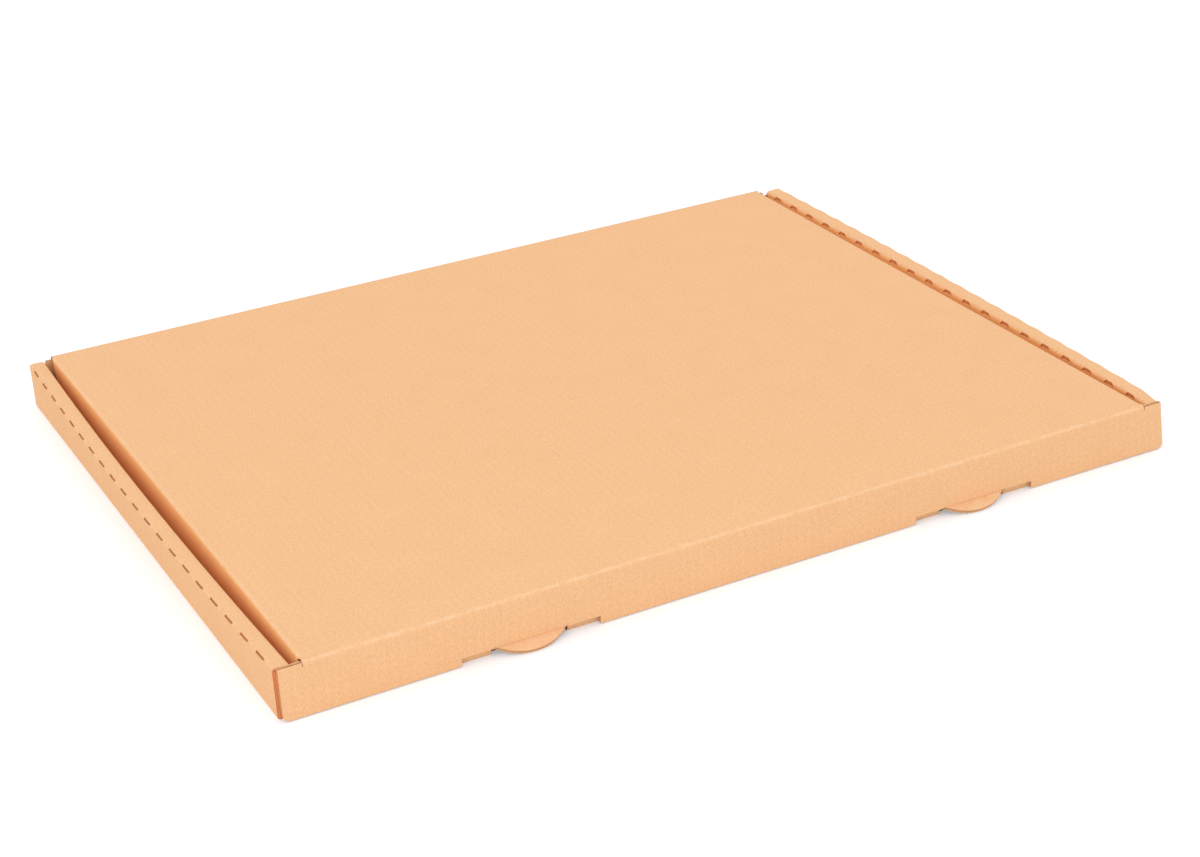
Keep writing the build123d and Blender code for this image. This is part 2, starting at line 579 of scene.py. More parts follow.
@dataclass(frozen=True)
class PaperFinish:
    """Look of a paper surface.

    Attributes:
        name: The material's name.
        colour: Its middle colour, linear.
        fibre: Colour of darker fibres.
        rub_and_painted_light: Colour where a crease has cracked and rubbed the surface; also painted light,
            laid paler over the thumb tabs so that they look as light as the flap.
        speck: Colour of dark specks.
        painted_shade_colour: Painted shade: a warmer, deeper colour laid on the faces in the narrow gaps
            beside the lid.
        fibre_share: Strength of the fibres, 0 to 1.
        speck_share: Strength of the specks, 0 to 1.
        mottle_share: Strength of the mottling, 0 to 1.
        bar_share: Strength of the flutes that show through, 0 to 1.
        rub_and_painted_light_share: Strength of the rubbing along creases and of the painted light on the
            thumb tabs, 0 to 1.
        roughness: Of the paper.
        bump: Depth of the fibres' relief.
        BAR_RELIEF: Height of the flutes' relief beside the fibres'.
        BUMP_STRENGTH: How strongly the relief shows, 0 to 1.
        SPECULAR: Strength of the paper's sheen.
    """

    name: str
    colour: Colour
    fibre: Colour
    rub_and_painted_light: Colour
    speck: Colour = (0.42, 0.2, 0.09)
    painted_shade_colour: Colour = (1.0, 0.5, 0.17)
    fibre_share: float = 0.62
    speck_share: float = 0.5
    mottle_share: float = 0.12
    bar_share: float = 0.1
    rub_and_painted_light_share: float = 0.62
    roughness: float = 0.86
    bump: float = 0.02 * MM

    BAR_RELIEF: ClassVar[float] = 0.6
    BUMP_STRENGTH: ClassVar[float] = 0.5
    SPECULAR: ClassVar[float] = 0.25

    def material(self, paper: bpy.types.NodeTree, flutes: bpy.types.NodeTree) -> bpy.types.Material:
        """Builds the material.

        Args:
            paper: The fibre group.
            flutes: The group of flute bars.

        Returns:
            The material.
        """
        made = bpy.data.materials.new(self.name)
        made.use_nodes = True
        made.diffuse_color = (*self.colour, 1.0)
        graph = Graph(made.node_tree)
        made.node_tree.nodes.clear()
        sheet = graph.add("ShaderNodeUVMap", uv_map=FoldedSheet.UV_NAME).outputs["UV"]
        grain = graph.add("ShaderNodeGroup", node_tree=paper)
        bars = graph.add("ShaderNodeGroup", node_tree=flutes)
        for group in (grain, bars):
            made.node_tree.links.new(sheet, group.inputs["Vector"])
        crease, warmth = (
            graph.add("ShaderNodeAttribute", attribute_name=label).outputs["Fac"]
            for label in (FoldedSheet.RUB_AND_PAINTED_LIGHT_NAME, FoldedSheet.PAINTED_SHADE_NAME)
        )
        # Rubbing along creases, and painted light that pales the thumb tabs.
        rubbed_and_painted_light = graph.math("MULTIPLY", crease, grain.outputs["Wear"])
        colour = self.colour
        for mask, share, tint in (
            (grain.outputs["Mottle"], self.mottle_share, self.fibre),
            (bars.outputs["Bars"], self.bar_share, self.fibre),
            (grain.outputs["Fibres"], self.fibre_share, self.fibre),
            (grain.outputs["Specks"], self.speck_share, self.speck),
            (rubbed_and_painted_light, self.rub_and_painted_light_share, self.rub_and_painted_light),
        ):
            colour = graph.mix(graph.math("MULTIPLY", mask, share), colour, tint)
        # Painted shade: faces in the gaps beside the lid are mixed towards a warmer, deeper colour.
        colour = graph.mix(warmth, colour, self.painted_shade_colour)

        relief = graph.math("MULTIPLY_ADD", bars.outputs["Bars"], self.BAR_RELIEF, grain.outputs["Fibres"])
        inputs = {"Height": relief, "Strength": self.BUMP_STRENGTH, "Distance": self.bump}
        bump = graph.add("ShaderNodeBump", inputs)
        shader = graph.add("ShaderNodeBsdfPrincipled", {
            "Base Color": colour,
            "Roughness": self.roughness,
            "Specular IOR Level": self.SPECULAR,
            "Normal": bump.outputs["Normal"],
        })
        graph.add("ShaderNodeOutputMaterial", {"Surface": shader.outputs["BSDF"]})
        return made


@dataclass
class FluteMaker:
    """Makes rows of flutes with Geometry Nodes: one flute, repeated along a line.

    Attributes:
        board: The board that the flutes belong to.
        material: Finish of the fluted medium.
        steps: Faces across one flute.
        tree: The node tree that makes a row.
    """

    board: Board
    material: bpy.types.Material
    steps: int = 10
    tree: bpy.types.NodeTree = field(init=False)

    def __post_init__(self) -> None:
        """Builds the node tree once, for every row."""
        self.tree = self._build_tree()

    def _build_tree(self) -> bpy.types.NodeTree:
        """Builds the tree: a waved strip of paper, instanced on a line of points.

        Returns:
            The tree.
        """
        tree = bpy.data.node_groups.new("flute_row", "GeometryNodeTree")
        sockets = {
            "Count": "NodeSocketInt", "Steps": "NodeSocketInt", "Pitch": "NodeSocketFloat",
            "Wave": "NodeSocketFloat", "Reach": "NodeSocketFloat", "Paper": "NodeSocketFloat",
            "Material": "NodeSocketMaterial",
        }
        for label, kind in sockets.items():
            tree.interface.new_socket(label, in_out="INPUT", socket_type=kind)
        tree.interface.new_socket("Geometry", in_out="OUTPUT", socket_type="NodeSocketGeometry")
        graph = Graph(tree)
        entry = graph.add("NodeGroupInput").outputs
        columns = graph.math("ADD", entry["Steps"], 1.0)
        strip = graph.add("GeometryNodeMeshGrid", {
            "Size X": entry["Pitch"], "Size Y": entry["Reach"], "Vertices X": columns, "Vertices Y": 2,
        }).outputs["Mesh"]
        place = graph.add("GeometryNodeInputPosition").outputs[0]
        across = graph.add("ShaderNodeSeparateXYZ", {"Vector": place}).outputs["X"]
        phase = graph.math("MULTIPLY", graph.math("DIVIDE", across, entry["Pitch"]), FULL_TURN)
        crest = graph.math("MULTIPLY", graph.math("SINE", phase), entry["Wave"])
        lift = graph.math("MULTIPLY_ADD", entry["Paper"], -0.5, crest)
        offset = graph.add("ShaderNodeCombineXYZ", {
            "X": graph.math("MULTIPLY", entry["Pitch"], 0.5),
            "Y": graph.math("MULTIPLY", entry["Reach"], 0.5),
            "Z": lift,
        }).outputs[0]
        waved = graph.add("GeometryNodeSetPosition", {"Geometry": strip, "Offset": offset}).outputs[0]
        upright = graph.add("ShaderNodeCombineXYZ", {"Z": 1.0}).outputs[0]
        thick = graph.add("GeometryNodeExtrudeMesh", {
            "Mesh": waved, "Offset": upright, "Offset Scale": entry["Paper"], "Individual": False,
        }).outputs["Mesh"]
        under = graph.add("GeometryNodeFlipFaces", {"Mesh": waved}).outputs[0]
        joined = graph.add("GeometryNodeJoinGeometry", {"Geometry": thick})
        tree.links.new(under, joined.inputs["Geometry"])
        spacing = graph.add("ShaderNodeCombineXYZ", {"X": entry["Pitch"]}).outputs[0]
        line = graph.add("GeometryNodeMeshLine", {"Count": entry["Count"], "Offset": spacing}, mode="OFFSET")
        copies = graph.add("GeometryNodeInstanceOnPoints", {
            "Points": line.outputs[0], "Instance": joined.outputs[0],
        }).outputs[0]
        real = graph.add("GeometryNodeRealizeInstances", {"Geometry": copies}).outputs[0]
        dressed = graph.add("GeometryNodeSetMaterial", {"Geometry": real, "Material": entry["Material"]})
        graph.add("NodeGroupOutput", {"Geometry": dressed.outputs[0]})
        return tree

    def row(self, edge: CutEdge) -> tuple[np.ndarray, list[tuple[int, ...]]]:
        """Makes the flutes behind one cut edge, still in the flat.

        Args:
            edge: The cut edge.

        Returns:
            The row's points as (u, v, w), and its faces.
        """
        pitch = self.board.flute_pitch
        first = math.ceil(edge.start[0] / pitch)
        count = math.floor(edge.end[0] / pitch) - first
        if count < 1:
            return np.zeros((0, 3)), []
        holder = bpy.data.objects.new("flute_row", bpy.data.meshes.new("flute_row"))
        bpy.context.scene.collection.objects.link(holder)
        modifier = holder.modifiers.new("flutes", "NODES")
        modifier.node_group = self.tree
        values = {
            "Count": count, "Steps": self.steps, "Pitch": pitch, "Wave": self.board.wave,
            "Reach": self.board.flute_reach, "Paper": self.board.medium, "Material": self.material,
        }
        for item in self.tree.interface.items_tree:
            if item.in_out == "INPUT":
                modifier[item.identifier] = values[item.name]
        evaluated = holder.evaluated_get(bpy.context.evaluated_depsgraph_get())
        mesh = bpy.data.meshes.new_from_object(evaluated)
        holder.modifiers.remove(modifier)
        points = np.array([vertex.co for vertex in mesh.vertices], float).reshape(-1, 3)
        faces = [tuple(polygon.vertices) for polygon in mesh.polygons]
        points[:, 0] += first * pitch
        slope = (edge.end[1] - edge.start[1]) / (edge.end[0] - edge.start[0])
        rim = edge.start[1] + slope * (points[:, 0] - edge.start[0])
        points[:, 1] = rim + edge.inward * (self.board.recess + points[:, 1])
        bpy.data.objects.remove(holder)
        bpy.data.meshes.remove(mesh)
        if edge.inward < 0:
            faces = [face[::-1] for face in faces]
        return points, faces


@dataclass
class FoldedSheet:
    """A die-cut panel of board, meshed in the flat and then folded.

    Attributes:
        name: Name of the finished piece.
        sizes: Sizes of the box.
        board: The board.
        flutes: Maker of the flutes behind cut edges.
        finishes: Materials in the order of Surface.
        UV_NAME: UV map that holds the flat sheet, in metres.
        RUB_AND_PAINTED_LIGHT_NAME: Attribute for rubbed places and for the painted light on the thumb tabs.
        PAINTED_SHADE_NAME: Attribute for the painted shade on faces in the gaps beside the lid.
        FOLD_STEPS: Pieces that a bend is cut into.
        SUPPORT: From a bend to the next row of the mesh beside it.
        SHARP_ANGLE: Angle between faces from which their edge is sharp.
        RUB_REACH: How far beside a crease the surface is rubbed.
        CUT_TOLERANCE: Distance in millimetres below which two points of the flat mesh are one.
    """

    name: str
    sizes: Sizes
    board: Board
    flutes: FluteMaker
    finishes: list[bpy.types.Material]

    UV_NAME: ClassVar[str] = "blank"
    RUB_AND_PAINTED_LIGHT_NAME: ClassVar[str] = "crease"
    PAINTED_SHADE_NAME: ClassVar[str] = "warmth"
    FOLD_STEPS: ClassVar[int] = 8
    SUPPORT: ClassVar[float] = 0.4 * MM
    SHARP_ANGLE: ClassVar[float] = math.radians(40)
    RUB_REACH: ClassVar[float] = 0.35 * MM
    CUT_TOLERANCE: ClassVar[float] = 1e-4

    def outline(self) -> Loop:
        """Outer edge of the flat sheet.

        Returns:
            Its corners, in order.
        """
        raise NotImplementedError

    def cuts(self) -> list[Loop]:
        """Holes in the flat sheet.

        Returns:
            The corners of each.
        """
        return []

    def rows(self) -> list[Loop]:
        """Lines that the mesh follows, so that it can bend along them.

        Returns:
            The lines' points.
        """
        return []

    def extra_points(self) -> Loop:
        """Loose points of the mesh, where a wide panel needs some to bow.

        Returns:
            The points.
        """
        return []

    def open_edges(self) -> list[CutEdge]:
        """Cut edges that show the flutes.

        Returns:
            The edges.
        """
        return []

    def crushed(self, u: np.ndarray) -> np.ndarray:
        """Tells where cutting has crushed the medium shut between the liners.

        Args:
            u: Places of cut edges across the sheet.

        Returns:
            A flag for each place.
        """
        return np.zeros_like(u, bool)

    def wall_ends(self, u: np.ndarray, v: np.ndarray) -> np.ndarray:
        """Tells where the board's cut end shows its liners as two dark lines, painted shade for the seam
        beside the front flap.

        Args:
            u: Places across the sheet.
            v: Places along the sheet.

        Returns:
            A flag for each place.
        """
        return np.zeros_like(u, bool)

    def plugs(self) -> list[Loop]:
        """Cuts that the folded board closes under its outer liner.

        Returns:
            The corners of each.
        """
        return []

    def relief(self, u: np.ndarray, v: np.ndarray) -> np.ndarray:
        """How far the real sheet strays from a true fold, upwards in the flat.

        Args:
            u: Places across the sheet.
            v: Places along the sheet.

        Returns:
            The heights.
        """
        return np.zeros_like(u)

    def rub_and_painted_light_marks(self, u: np.ndarray, v: np.ndarray) -> np.ndarray:
        """Where creasing has rubbed the surface, and where light is painted.

        Args:
            u: Places across the sheet.
            v: Places along the sheet.

        Returns:
            0 on a sound surface to 1 on a crease.
        """
        return np.zeros_like(u)

    def warmth(self, u: np.ndarray, v: np.ndarray) -> np.ndarray:
        """Where shade is painted: in the gaps beside the lid, where light only comes off other board.

        Args:
            u: Places across the sheet.
            v: Places along the sheet.

        Returns:
            0 in the open to 1 in a gap.
        """
        return np.zeros_like(u)

    def fold(self, u: np.ndarray, v: np.ndarray, w: np.ndarray) -> np.ndarray:
        """Folds points of the flat sheet into place.

        Args:
            u: Places across the sheet.
            v: Places along the sheet.
            w: Heights above the board's middle.

        Returns:
            The points in the row frame.
        """
        raise NotImplementedError

    def triangulate(self) -> tuple[np.ndarray, list[tuple[int, ...]]]:
        """Cuts the flat sheet into triangles along its edges and rows.

        Returns:
            The points as (u, v), and the triangles.
        """
        loops = [self.outline(), *self.cuts()]
        points: Loop = []
        edges: list[tuple[int, int]] = []
        for loop in loops:
            base = len(points)
            points += loop
            edges += [(base + i, base + (i + 1) % len(loop)) for i in range(len(loop))]
        for row in self.rows():
            base = len(points)
            points += row
            edges += [(base + i, base + i + 1) for i in range(len(row) - 1)]
        points += self.extra_points()
        scaled = [Vector((u / MM, v / MM)) for u, v in points]
        found, _, faces, *_ = delaunay_2d_cdt(scaled, edges, [], 0, self.CUT_TOLERANCE, False)
        flat = np.array([tuple(point) for point in found]) * MM
        triangles = np.array(faces)
        inside = self._inside(flat[triangles].mean(axis=1), loops)
        return flat, [tuple(face) for face in triangles[inside].tolist()]

    @staticmethod
    def _inside(places: np.ndarray, loops: Sequence[Loop]) -> np.ndarray:
        """Tells which points lie on the board.

        Args:
            places: Points as (u, v).
            loops: The outline and the holes.

        Returns:
            A flag for each point.
        """
        flags = np.zeros(len(places), bool)
        u, v = places.T
        for loop in loops:
            for (u0, v0), (u1, v1) in zip(loop, loop[1:] + loop[:1]):
                if v0 == v1:
                    continue
                crosses = (v0 > v) != (v1 > v)
                flags ^= crosses & (u < u0 + (v - v0) * (u1 - u0) / (v1 - v0))
        return flags

    def build(self) -> bpy.types.Object:
        """Makes the finished piece.

        Returns:
            Its object, at the origin and in the scene.
        """
        flat, triangles = self.triangulate()
        used = np.unique(np.array(triangles))
        renumber = np.full(len(flat), -1)
        renumber[used] = np.arange(len(used))
        flat = flat[used]
        triangles = [tuple(int(renumber[i]) for i in face) for face in triangles]
        rim = self._rim(triangles)
        points: list[np.ndarray] = []
        faces: list[tuple[int, ...]] = []
        surfaces: list[int] = []
        half, liner = self.board.half, self.board.liner
        shut, ends = self.crushed(flat[:, 0]), self.wall_ends(*flat.T)
        for low, high in ((-half, liner - half), (half - liner, half)):
            base = self._count(points)
            count = len(flat)
            for level in (low, high):
                points.append(np.column_stack([flat, np.full(count, level)]))
            faces += [tuple(base + i for i in face[::-1]) for face in triangles]
            faces += [tuple(base + count + i for i in face) for face in triangles]
            surfaces += [Surface.LINER.value] * 2 * len(triangles)
            faces += self._walls(rim, base, base + count)
            # At the side walls' ends the liners' rims take the dark crushed colour: painted shade, two dark
            # lines in the seam.
            dark = [ends[list(edge)].all() for edge in rim]
            surfaces += [(Surface.CRUSHED_AND_SHADED if flag else Surface.CUT_EDGE).value for flag in dark]
        # The medium crushed shut is closed with walls in the crushed colour, partly painted shade.
        shut_rim = [edge for edge in rim if shut[list(edge)].all()]
        faces += self._walls(shut_rim, len(flat), 2 * len(flat))
        # There the crushed medium takes a brighter orange instead: painted light for the paler stripe in the
        # shaded seam.
        pale = [ends[list(edge)].all() for edge in shut_rim]
        surfaces += [(Surface.WALL_END if flag else Surface.CRUSHED_AND_SHADED).value for flag in pale]
        for loop in self.plugs():
            base = self._count(points)
            corners = loop if self._turns_left(loop) else loop[::-1]
            points.append(np.array([(u, v, 2 * liner - half) for u, v in corners]))
            faces.append(tuple(base + i for i in reversed(range(len(corners)))))
            surfaces.append(Surface.MEDIUM.value)
        for edge in self.open_edges():
            row, row_faces = self.flutes.row(edge)
            base = self._count(points)
            points.append(row)
            faces += [tuple(base + i for i in face) for face in row_faces]
            surfaces += [Surface.MEDIUM.value] * len(row_faces)
        return self._object(np.concatenate(points), faces, surfaces)

    @staticmethod
    def _count(blocks: Sequence[np.ndarray]) -> int:
        """Counts the points of all blocks."""
        return sum(len(block) for block in blocks)

    @staticmethod
    def _walls(rim: Sequence[tuple[int, int]], low: int, high: int) -> list[tuple[int, ...]]:
        """Joins the rims of two levels of the sheet.

        Args:
            rim: Edges of the rim, numbered within a level.
            low: Number of the lower level's first point.
            high: Number of the upper level's first point.

        Returns:
            A face for each edge, facing out of the board.
        """
        return [(low + a, low + b, high + b, high + a) for a, b in rim]

    @staticmethod
    def _turns_left(loop: Loop) -> bool:
        """Tells whether a loop runs anticlockwise.

        Args:
            loop: Its corners.

        Returns:
            The flag.
        """
        return sum(u0 * v1 - u1 * v0 for (u0, v0), (u1, v1) in zip(loop, loop[1:] + loop[:1])) > 0

    @staticmethod
    def _rim(triangles: Sequence[tuple[int, ...]]) -> list[tuple[int, int]]:
        """Finds the edges of a triangle mesh that only one triangle has.

        Args:
            triangles: The triangles.

        Returns:
            The edges, in their triangle's direction.
        """
        directed = {(a, b) for face in triangles for a, b in zip(face, face[1:] + face[:1])}
        return [edge for edge in sorted(directed) if edge[::-1] not in directed]

    def _object(self, flat: np.ndarray, faces: list, surfaces: list[int]) -> bpy.types.Object:
        """Folds the flat mesh and makes it an object.

        Args:
            flat: Points as (u, v, w).
            faces: The faces.
            surfaces: Material slot of each face.

        Returns:
            The object.
        """
        u, v, w = flat.T
        placed = self.fold(u, v, w + self.relief(u, v))
        mesh = bpy.data.meshes.new(self.name)
        mesh.from_pydata(placed.tolist(), [], faces)
        for finish in self.finishes:
            mesh.materials.append(finish)
        mesh.polygons.foreach_set("material_index", surfaces)
        layer = mesh.uv_layers.new(name=self.UV_NAME)
        corners = np.zeros(len(mesh.loops), int)
        mesh.loops.foreach_get("vertex_index", corners)
        layer.data.foreach_set("uv", flat[corners, :2].astype(np.float32).ravel())
        # The first mark holds the rubbing along creases and the painted light on the thumb tabs; the second
        # holds the painted shade in the gaps beside the lid.
        marks = {self.RUB_AND_PAINTED_LIGHT_NAME: self.rub_and_painted_light_marks(u, v), self.PAINTED_SHADE_NAME: self.warmth(u, v)}
        for label, values in marks.items():
            attribute = mesh.attributes.new(label, "FLOAT", "POINT")
            attribute.data.foreach_set("value", values.astype(np.float32))
        mesh.shade_smooth()
        mesh.set_sharp_from_angle(angle=self.SHARP_ANGLE)
        mesh.update()
        made = bpy.data.objects.new(self.name, mesh)
        bpy.context.scene.collection.objects.link(made)
        return made

    def near(self, run: np.ndarray, place: float) -> np.ndarray:
        """Fades from 1 on a line to 0 at the reach of a crease's rubbing.

        Args:
            run: Distances across the line.
            place: The line's own distance.

        Returns:
            The faded values.
        """
        return np.clip(1 - np.abs(run - place) / self.RUB_REACH, 0, 1)


def span(start: Flat, end: Flat, step: float) -> Loop:
    """Divides a straight line evenly.

    Args:
        start: Its first end.
        end: Its last end.
        step: Greatest distance between points.

    Returns:
        The points with both ends.
    """
    count = max(1, math.ceil(math.dist(start, end) / step))
    shares = [i / count for i in range(count + 1)]
    return [tuple(a + (b - a) * share for a, b in zip(start, end)) for share in shares]


def smooth(share: np.ndarray) -> np.ndarray:
    """Eases a share in and out.

    Args:
        share: Values from 0 to 1.

    Returns:
        The eased values, level at both ends.
    """
    return share * share * (3 - 2 * share)


def mirrored(quarter: Callable[[int], Loop]) -> Loop:
    """Completes an outline from its quarters.

    Args:
        quarter: Gives a quarter on the right for the front (-1) or back (1), from the middle of
            that end to the middle of the side.

    Returns:
        The whole outline.
    """
    right = quarter(1) + quarter(-1)[::-1][1:]
    left = [(-u, v) for u, v in right[::-1]]
    return right[:-1] + left[:-1]


def arc(centre: Flat, radius: float, first: float, last: float, steps: int = 6) -> Loop:
    """Points along a part of a circle.

    Args:
        centre: The circle's centre.
        radius: Its radius.
        first: Angle of the first point.
        last: Angle of the last point.
        steps: Pieces between them.

    Returns:
        The points with both ends.
    """
    angles = [first + (last - first) * step / steps for step in range(steps + 1)]
    return [(centre[0] + radius * math.cos(angle), centre[1] + radius * math.sin(angle)) for angle in angles]


def rectangle(middle: Flat, half_size: Flat) -> Loop:
    """Corners of a rectangle.

    Args:
        middle: Its middle.
        half_size: Half its width and half its height.

    Returns:
        The corners, in order.
    """
    signs = ((-1, -1), (1, -1), (1, 1), (-1, 1))
    return [(middle[0] + a * half_size[0], middle[1] + b * half_size[1]) for a, b in signs]


@dataclass
class TraySheet(FoldedSheet):
    """Base, end walls with their corner flaps, and perforated roll-over side walls.

    Attributes:
        corner_flap_length: Depth of a corner flap inside a side wall.
        corner_flap_taper: How far its free corners are cut off.
        corner_relief: From a corner flap to the base and to the roll-over.
        front_wall_gap: From the front wall's top to the lid.
        lock_tab_width: Width of a locking tab.
        lock_tab_spacing: Between the two locking tabs of an inner wall.
        lock_clearance: Room round a locking tab in its slot.
        slot_clearance: How much a slot is wider than a thumb tab, at each end.
        slot_depth: Reach of a slot from the front wall's face into the base.
        slot_height: From the floor to the top of a slot.
        perforation_pitch: From one cut to the next.
        perforation_cut: Length of a cut.
        perforation_margin: Least distance from a wall's end to the middle of a cut.
        inner_radius: Radius of the board's middle in the inner crease.
        outer_slit: Half the width of a cut in the outer crease.
        inner_slit: Half the width of a cut in the inner crease.
        slit_step: Between points along a cut.
        outer_wave: How far the outer crease stands out at its cuts.
        wave_reach: How far from the crease the wave dies out.
        wave_step: Between points along the waved rows.
        gape_fade: How far inside a cut's ends the board is fully straight.
        shut_reach: How far below a cut the inner wall is lifted to meet the straight board.
        left_bow: How far the left wall's top bows out.
        right_bow: The same on the right.
        right_front: How far the right wall's top leans out at the front.
        right_back: The same at the back.
        right_pinch: How much further in its front corner is pinched.
        pinch_reach: Length of wall that the pinch takes.
        inner_share: Share of the right wall's stray that its inner wall follows.
        left_gape: Share of the right inner crease's gaping that the left one has.
        painted_shade_share: Strength of the painted shade, a warmer colour, in the gap beside the lid.
        side_chain: Folds from the base to the foot of an inner wall.
        end_chain: The fold from the base to an end wall.
        corner_chain: The fold from an end wall to a corner flap.
    """

    corner_flap_length: float = 58.0 * MM
    corner_flap_taper: float = 4.0 * MM
    corner_relief: float = 0.5 * MM
    front_wall_gap: float = 0.2 * MM
    lock_tab_width: float = 40.0 * MM
    lock_tab_spacing: float = 130.0 * MM
    lock_clearance: float = 0.25 * MM
    slot_clearance: float = 1.0 * MM
    slot_depth: float = 2.1 * MM
    slot_height: float = 3.0 * MM
    perforation_pitch: float = 12.7 * MM
    perforation_cut: float = 6.35 * MM
    perforation_margin: float = 7.0 * MM
    inner_radius: float = 0.65 * MM
    outer_slit: float = 0.11 * MM
    inner_slit: float = 0.06 * MM
    slit_step: float = 0.7 * MM
    outer_wave: float = 0.28 * MM
    wave_reach: float = 4.0 * MM
    wave_step: float = 1.6 * MM
    gape_fade: float = 1.4 * MM
    shut_reach: float = 2.0 * MM
    left_bow: float = 2.4 * MM
    right_bow: float = 1.9 * MM
    right_front: float = -0.95 * MM
    right_back: float = 2.95 * MM
    right_pinch: float = 1.8 * MM
    pinch_reach: float = 16.0 * MM
    inner_share: float = 0.7
    left_gape: float = 0.4
    painted_shade_share: float = 0.8
    side_chain: FoldChain = field(init=False)
    end_chain: FoldChain = field(init=False)
    corner_chain: FoldChain = field(init=False)

    def __post_init__(self) -> None:
        """Works out the folds in the three directions of the sheet."""
        box, half, radius = self.sizes, self.board.half, self.board.fold_radius
        wall_x = box.half_length - half
        roll_z = box.wall_height - 2 * half
        inner_x = box.inner_face + half
        foot_z = self.board.thickness + box.edge_gap - half
        side = [(0, 0), (wall_x, 0), (wall_x, roll_z), (inner_x, roll_z), (inner_x, foot_z)]
        self.side_chain = FoldChain.through(side, [radius, radius, self.inner_radius], self.board)
        wall_y = box.half_depth - half
        end = [(0, 0), (wall_y, 0), (wall_y, roll_z)]
        self.end_chain = FoldChain.through(end, [radius], self.board)
        flap_x = (box.half_length + box.inner_face) / 2
        corner = [(0, 0), (flap_x, 0), (flap_x, self.corner_flap_length)]
        self.corner_chain = FoldChain.through(corner, [radius], self.board)

    def wall_run(self, height: float) -> float:
        """Run along the flat end wall at a height above the floor.

        Args:
            height: The height of the wall's point.

        Returns:
            The run from the middle of the base.
        """
        fold = self.end_chain.folds[0]
        return fold.end + height - self.board.half - fold.radius

    @property
    def front_top(self) -> float:
        """Run of the front wall's top edge."""
        return self.wall_run(self.sizes.lid_top - self.board.thickness - self.front_wall_gap)

    @property
    def corner_flap_span(self) -> Flat:
        """Runs of a corner flap's lower and upper edges."""
        inset = self.board.thickness + self.corner_relief
        return self.wall_run(inset), self.wall_run(self.sizes.wall_height - inset)

    @property
    def slot_span(self) -> Flat:
        """Runs of a thumb tab's slot, from its end in the base to its end in the front wall."""
        return self.sizes.half_depth - self.slot_depth, self.wall_run(self.slot_height)

    @property
    def slot_reach(self) -> float:
        """Half the width of a thumb tab's slot."""
        return self.sizes.thumb_chord / 2 + self.slot_clearance

    def _quarter(self, end: int) -> Loop:
        """One quarter of the outline, on the right.

        Args:
            end: -1 for the front, 1 for the back.

        Returns:
            Its corners, from the middle of the end wall to the middle of the side.
        """
        box, board = self.sizes, self.board.thickness
        top = self.front_top if end < 0 else self.wall_run(box.crease_z - self.board.crease_radius)
        low, high = self.corner_flap_span
        tip, taper = self.corner_chain.length, self.corner_flap_taper
        fold_start = self.end_chain.folds[0].start
        roll_end, foot = self.side_chain.folds[2].end, self.side_chain.length
        inner_half = box.half_depth - board - box.inner_wall_clearance
        tab_foot = foot + board + box.edge_gap - self.lock_clearance
        tab_near = (self.lock_tab_spacing + self.lock_tab_width) / 2
        tab_far = (self.lock_tab_spacing - self.lock_tab_width) / 2
        corners = [
            (0, top), (box.end_half, top), (box.end_half, high),
            (tip - taper, high), (tip, high - taper), (tip, low + taper), (tip - taper, low),
            (box.end_half, low), (box.end_half, fold_start),
            (box.end_half + box.slit, fold_start), (box.end_half + box.slit, box.side_half),
            (roll_end, box.side_half), (roll_end, inner_half), (foot, inner_half),
            (foot, tab_near), (tab_foot, tab_near), (tab_foot, tab_far), (foot, tab_far),
            (foot, 0),
        ]
        return [(u, end * v) for u, v in corners]

    def outline(self) -> Loop:
        """Outer edge of the cross-shaped sheet, corner flaps included."""
        return mirrored(self._quarter)

    def perforations(self) -> np.ndarray:
        """Places of the cuts along a roll-over wall.

        Returns:
            The middle of each cut, along v.
        """
        room = 2 * (self.sizes.side_half - self.perforation_margin)
        count = int(room / self.perforation_pitch) + 1
        return (np.arange(count) - (count - 1) / 2) * self.perforation_pitch

    def slits(self, crease: int, wide: float) -> list[Loop]:
        """Perforations of one crease, on both side walls.

        Args:
            crease: Number of the crease, from the base outwards.
            wide: Half the width of a cut.

        Returns:
            The corners of each, pointed at both ends.
        """
        half_cut = self.perforation_cut / 2
        middle_u = self.inner_cut if crease == 2 else self.side_chain.folds[crease].middle
        slit = [(0, -half_cut), *span((wide, wide - half_cut), (wide, half_cut - wide), self.slit_step)]
        slit += [(-u, -v) for u, v in slit]
        places = [(side, place) for side in (-1, 1) for place in self.perforations()]
        return [[(side * (middle_u + u), place + v) for u, v in slit] for side, place in places]

    @property
    def inner_cut(self) -> float:
        """Run of the inner crease's cuts, where the straight board over them ends level with the wall."""
        fold = self.side_chain.folds[2]
        return fold.start + fold.radius + self.board.half + self.inner_slit

    def plugs(self) -> list[Loop]:
        """Cuts of the outer crease, which its fold presses shut from below."""
        return self.slits(1, self.outer_slit)

    def crushed(self, u: np.ndarray) -> np.ndarray:
        """The medium is crushed at every cut outside the base and the end walls."""
        return np.abs(u) > self.sizes.end_half + self.sizes.slit / 2

    def wall_ends(self, u: np.ndarray, v: np.ndarray) -> np.ndarray:
        """Front and back ends of the upright side walls.

        Args:
            u: Places across the sheet.
            v: Places along the sheet.

        Returns:
            A flag for each place.
        """
        bottom, outer, _ = self.side_chain.folds
        upright = (np.abs(u) >= bottom.start) & (np.abs(u) <= outer.start)
        return upright & (np.abs(np.abs(v) - self.sizes.side_half) < self.sizes.slit / 2)

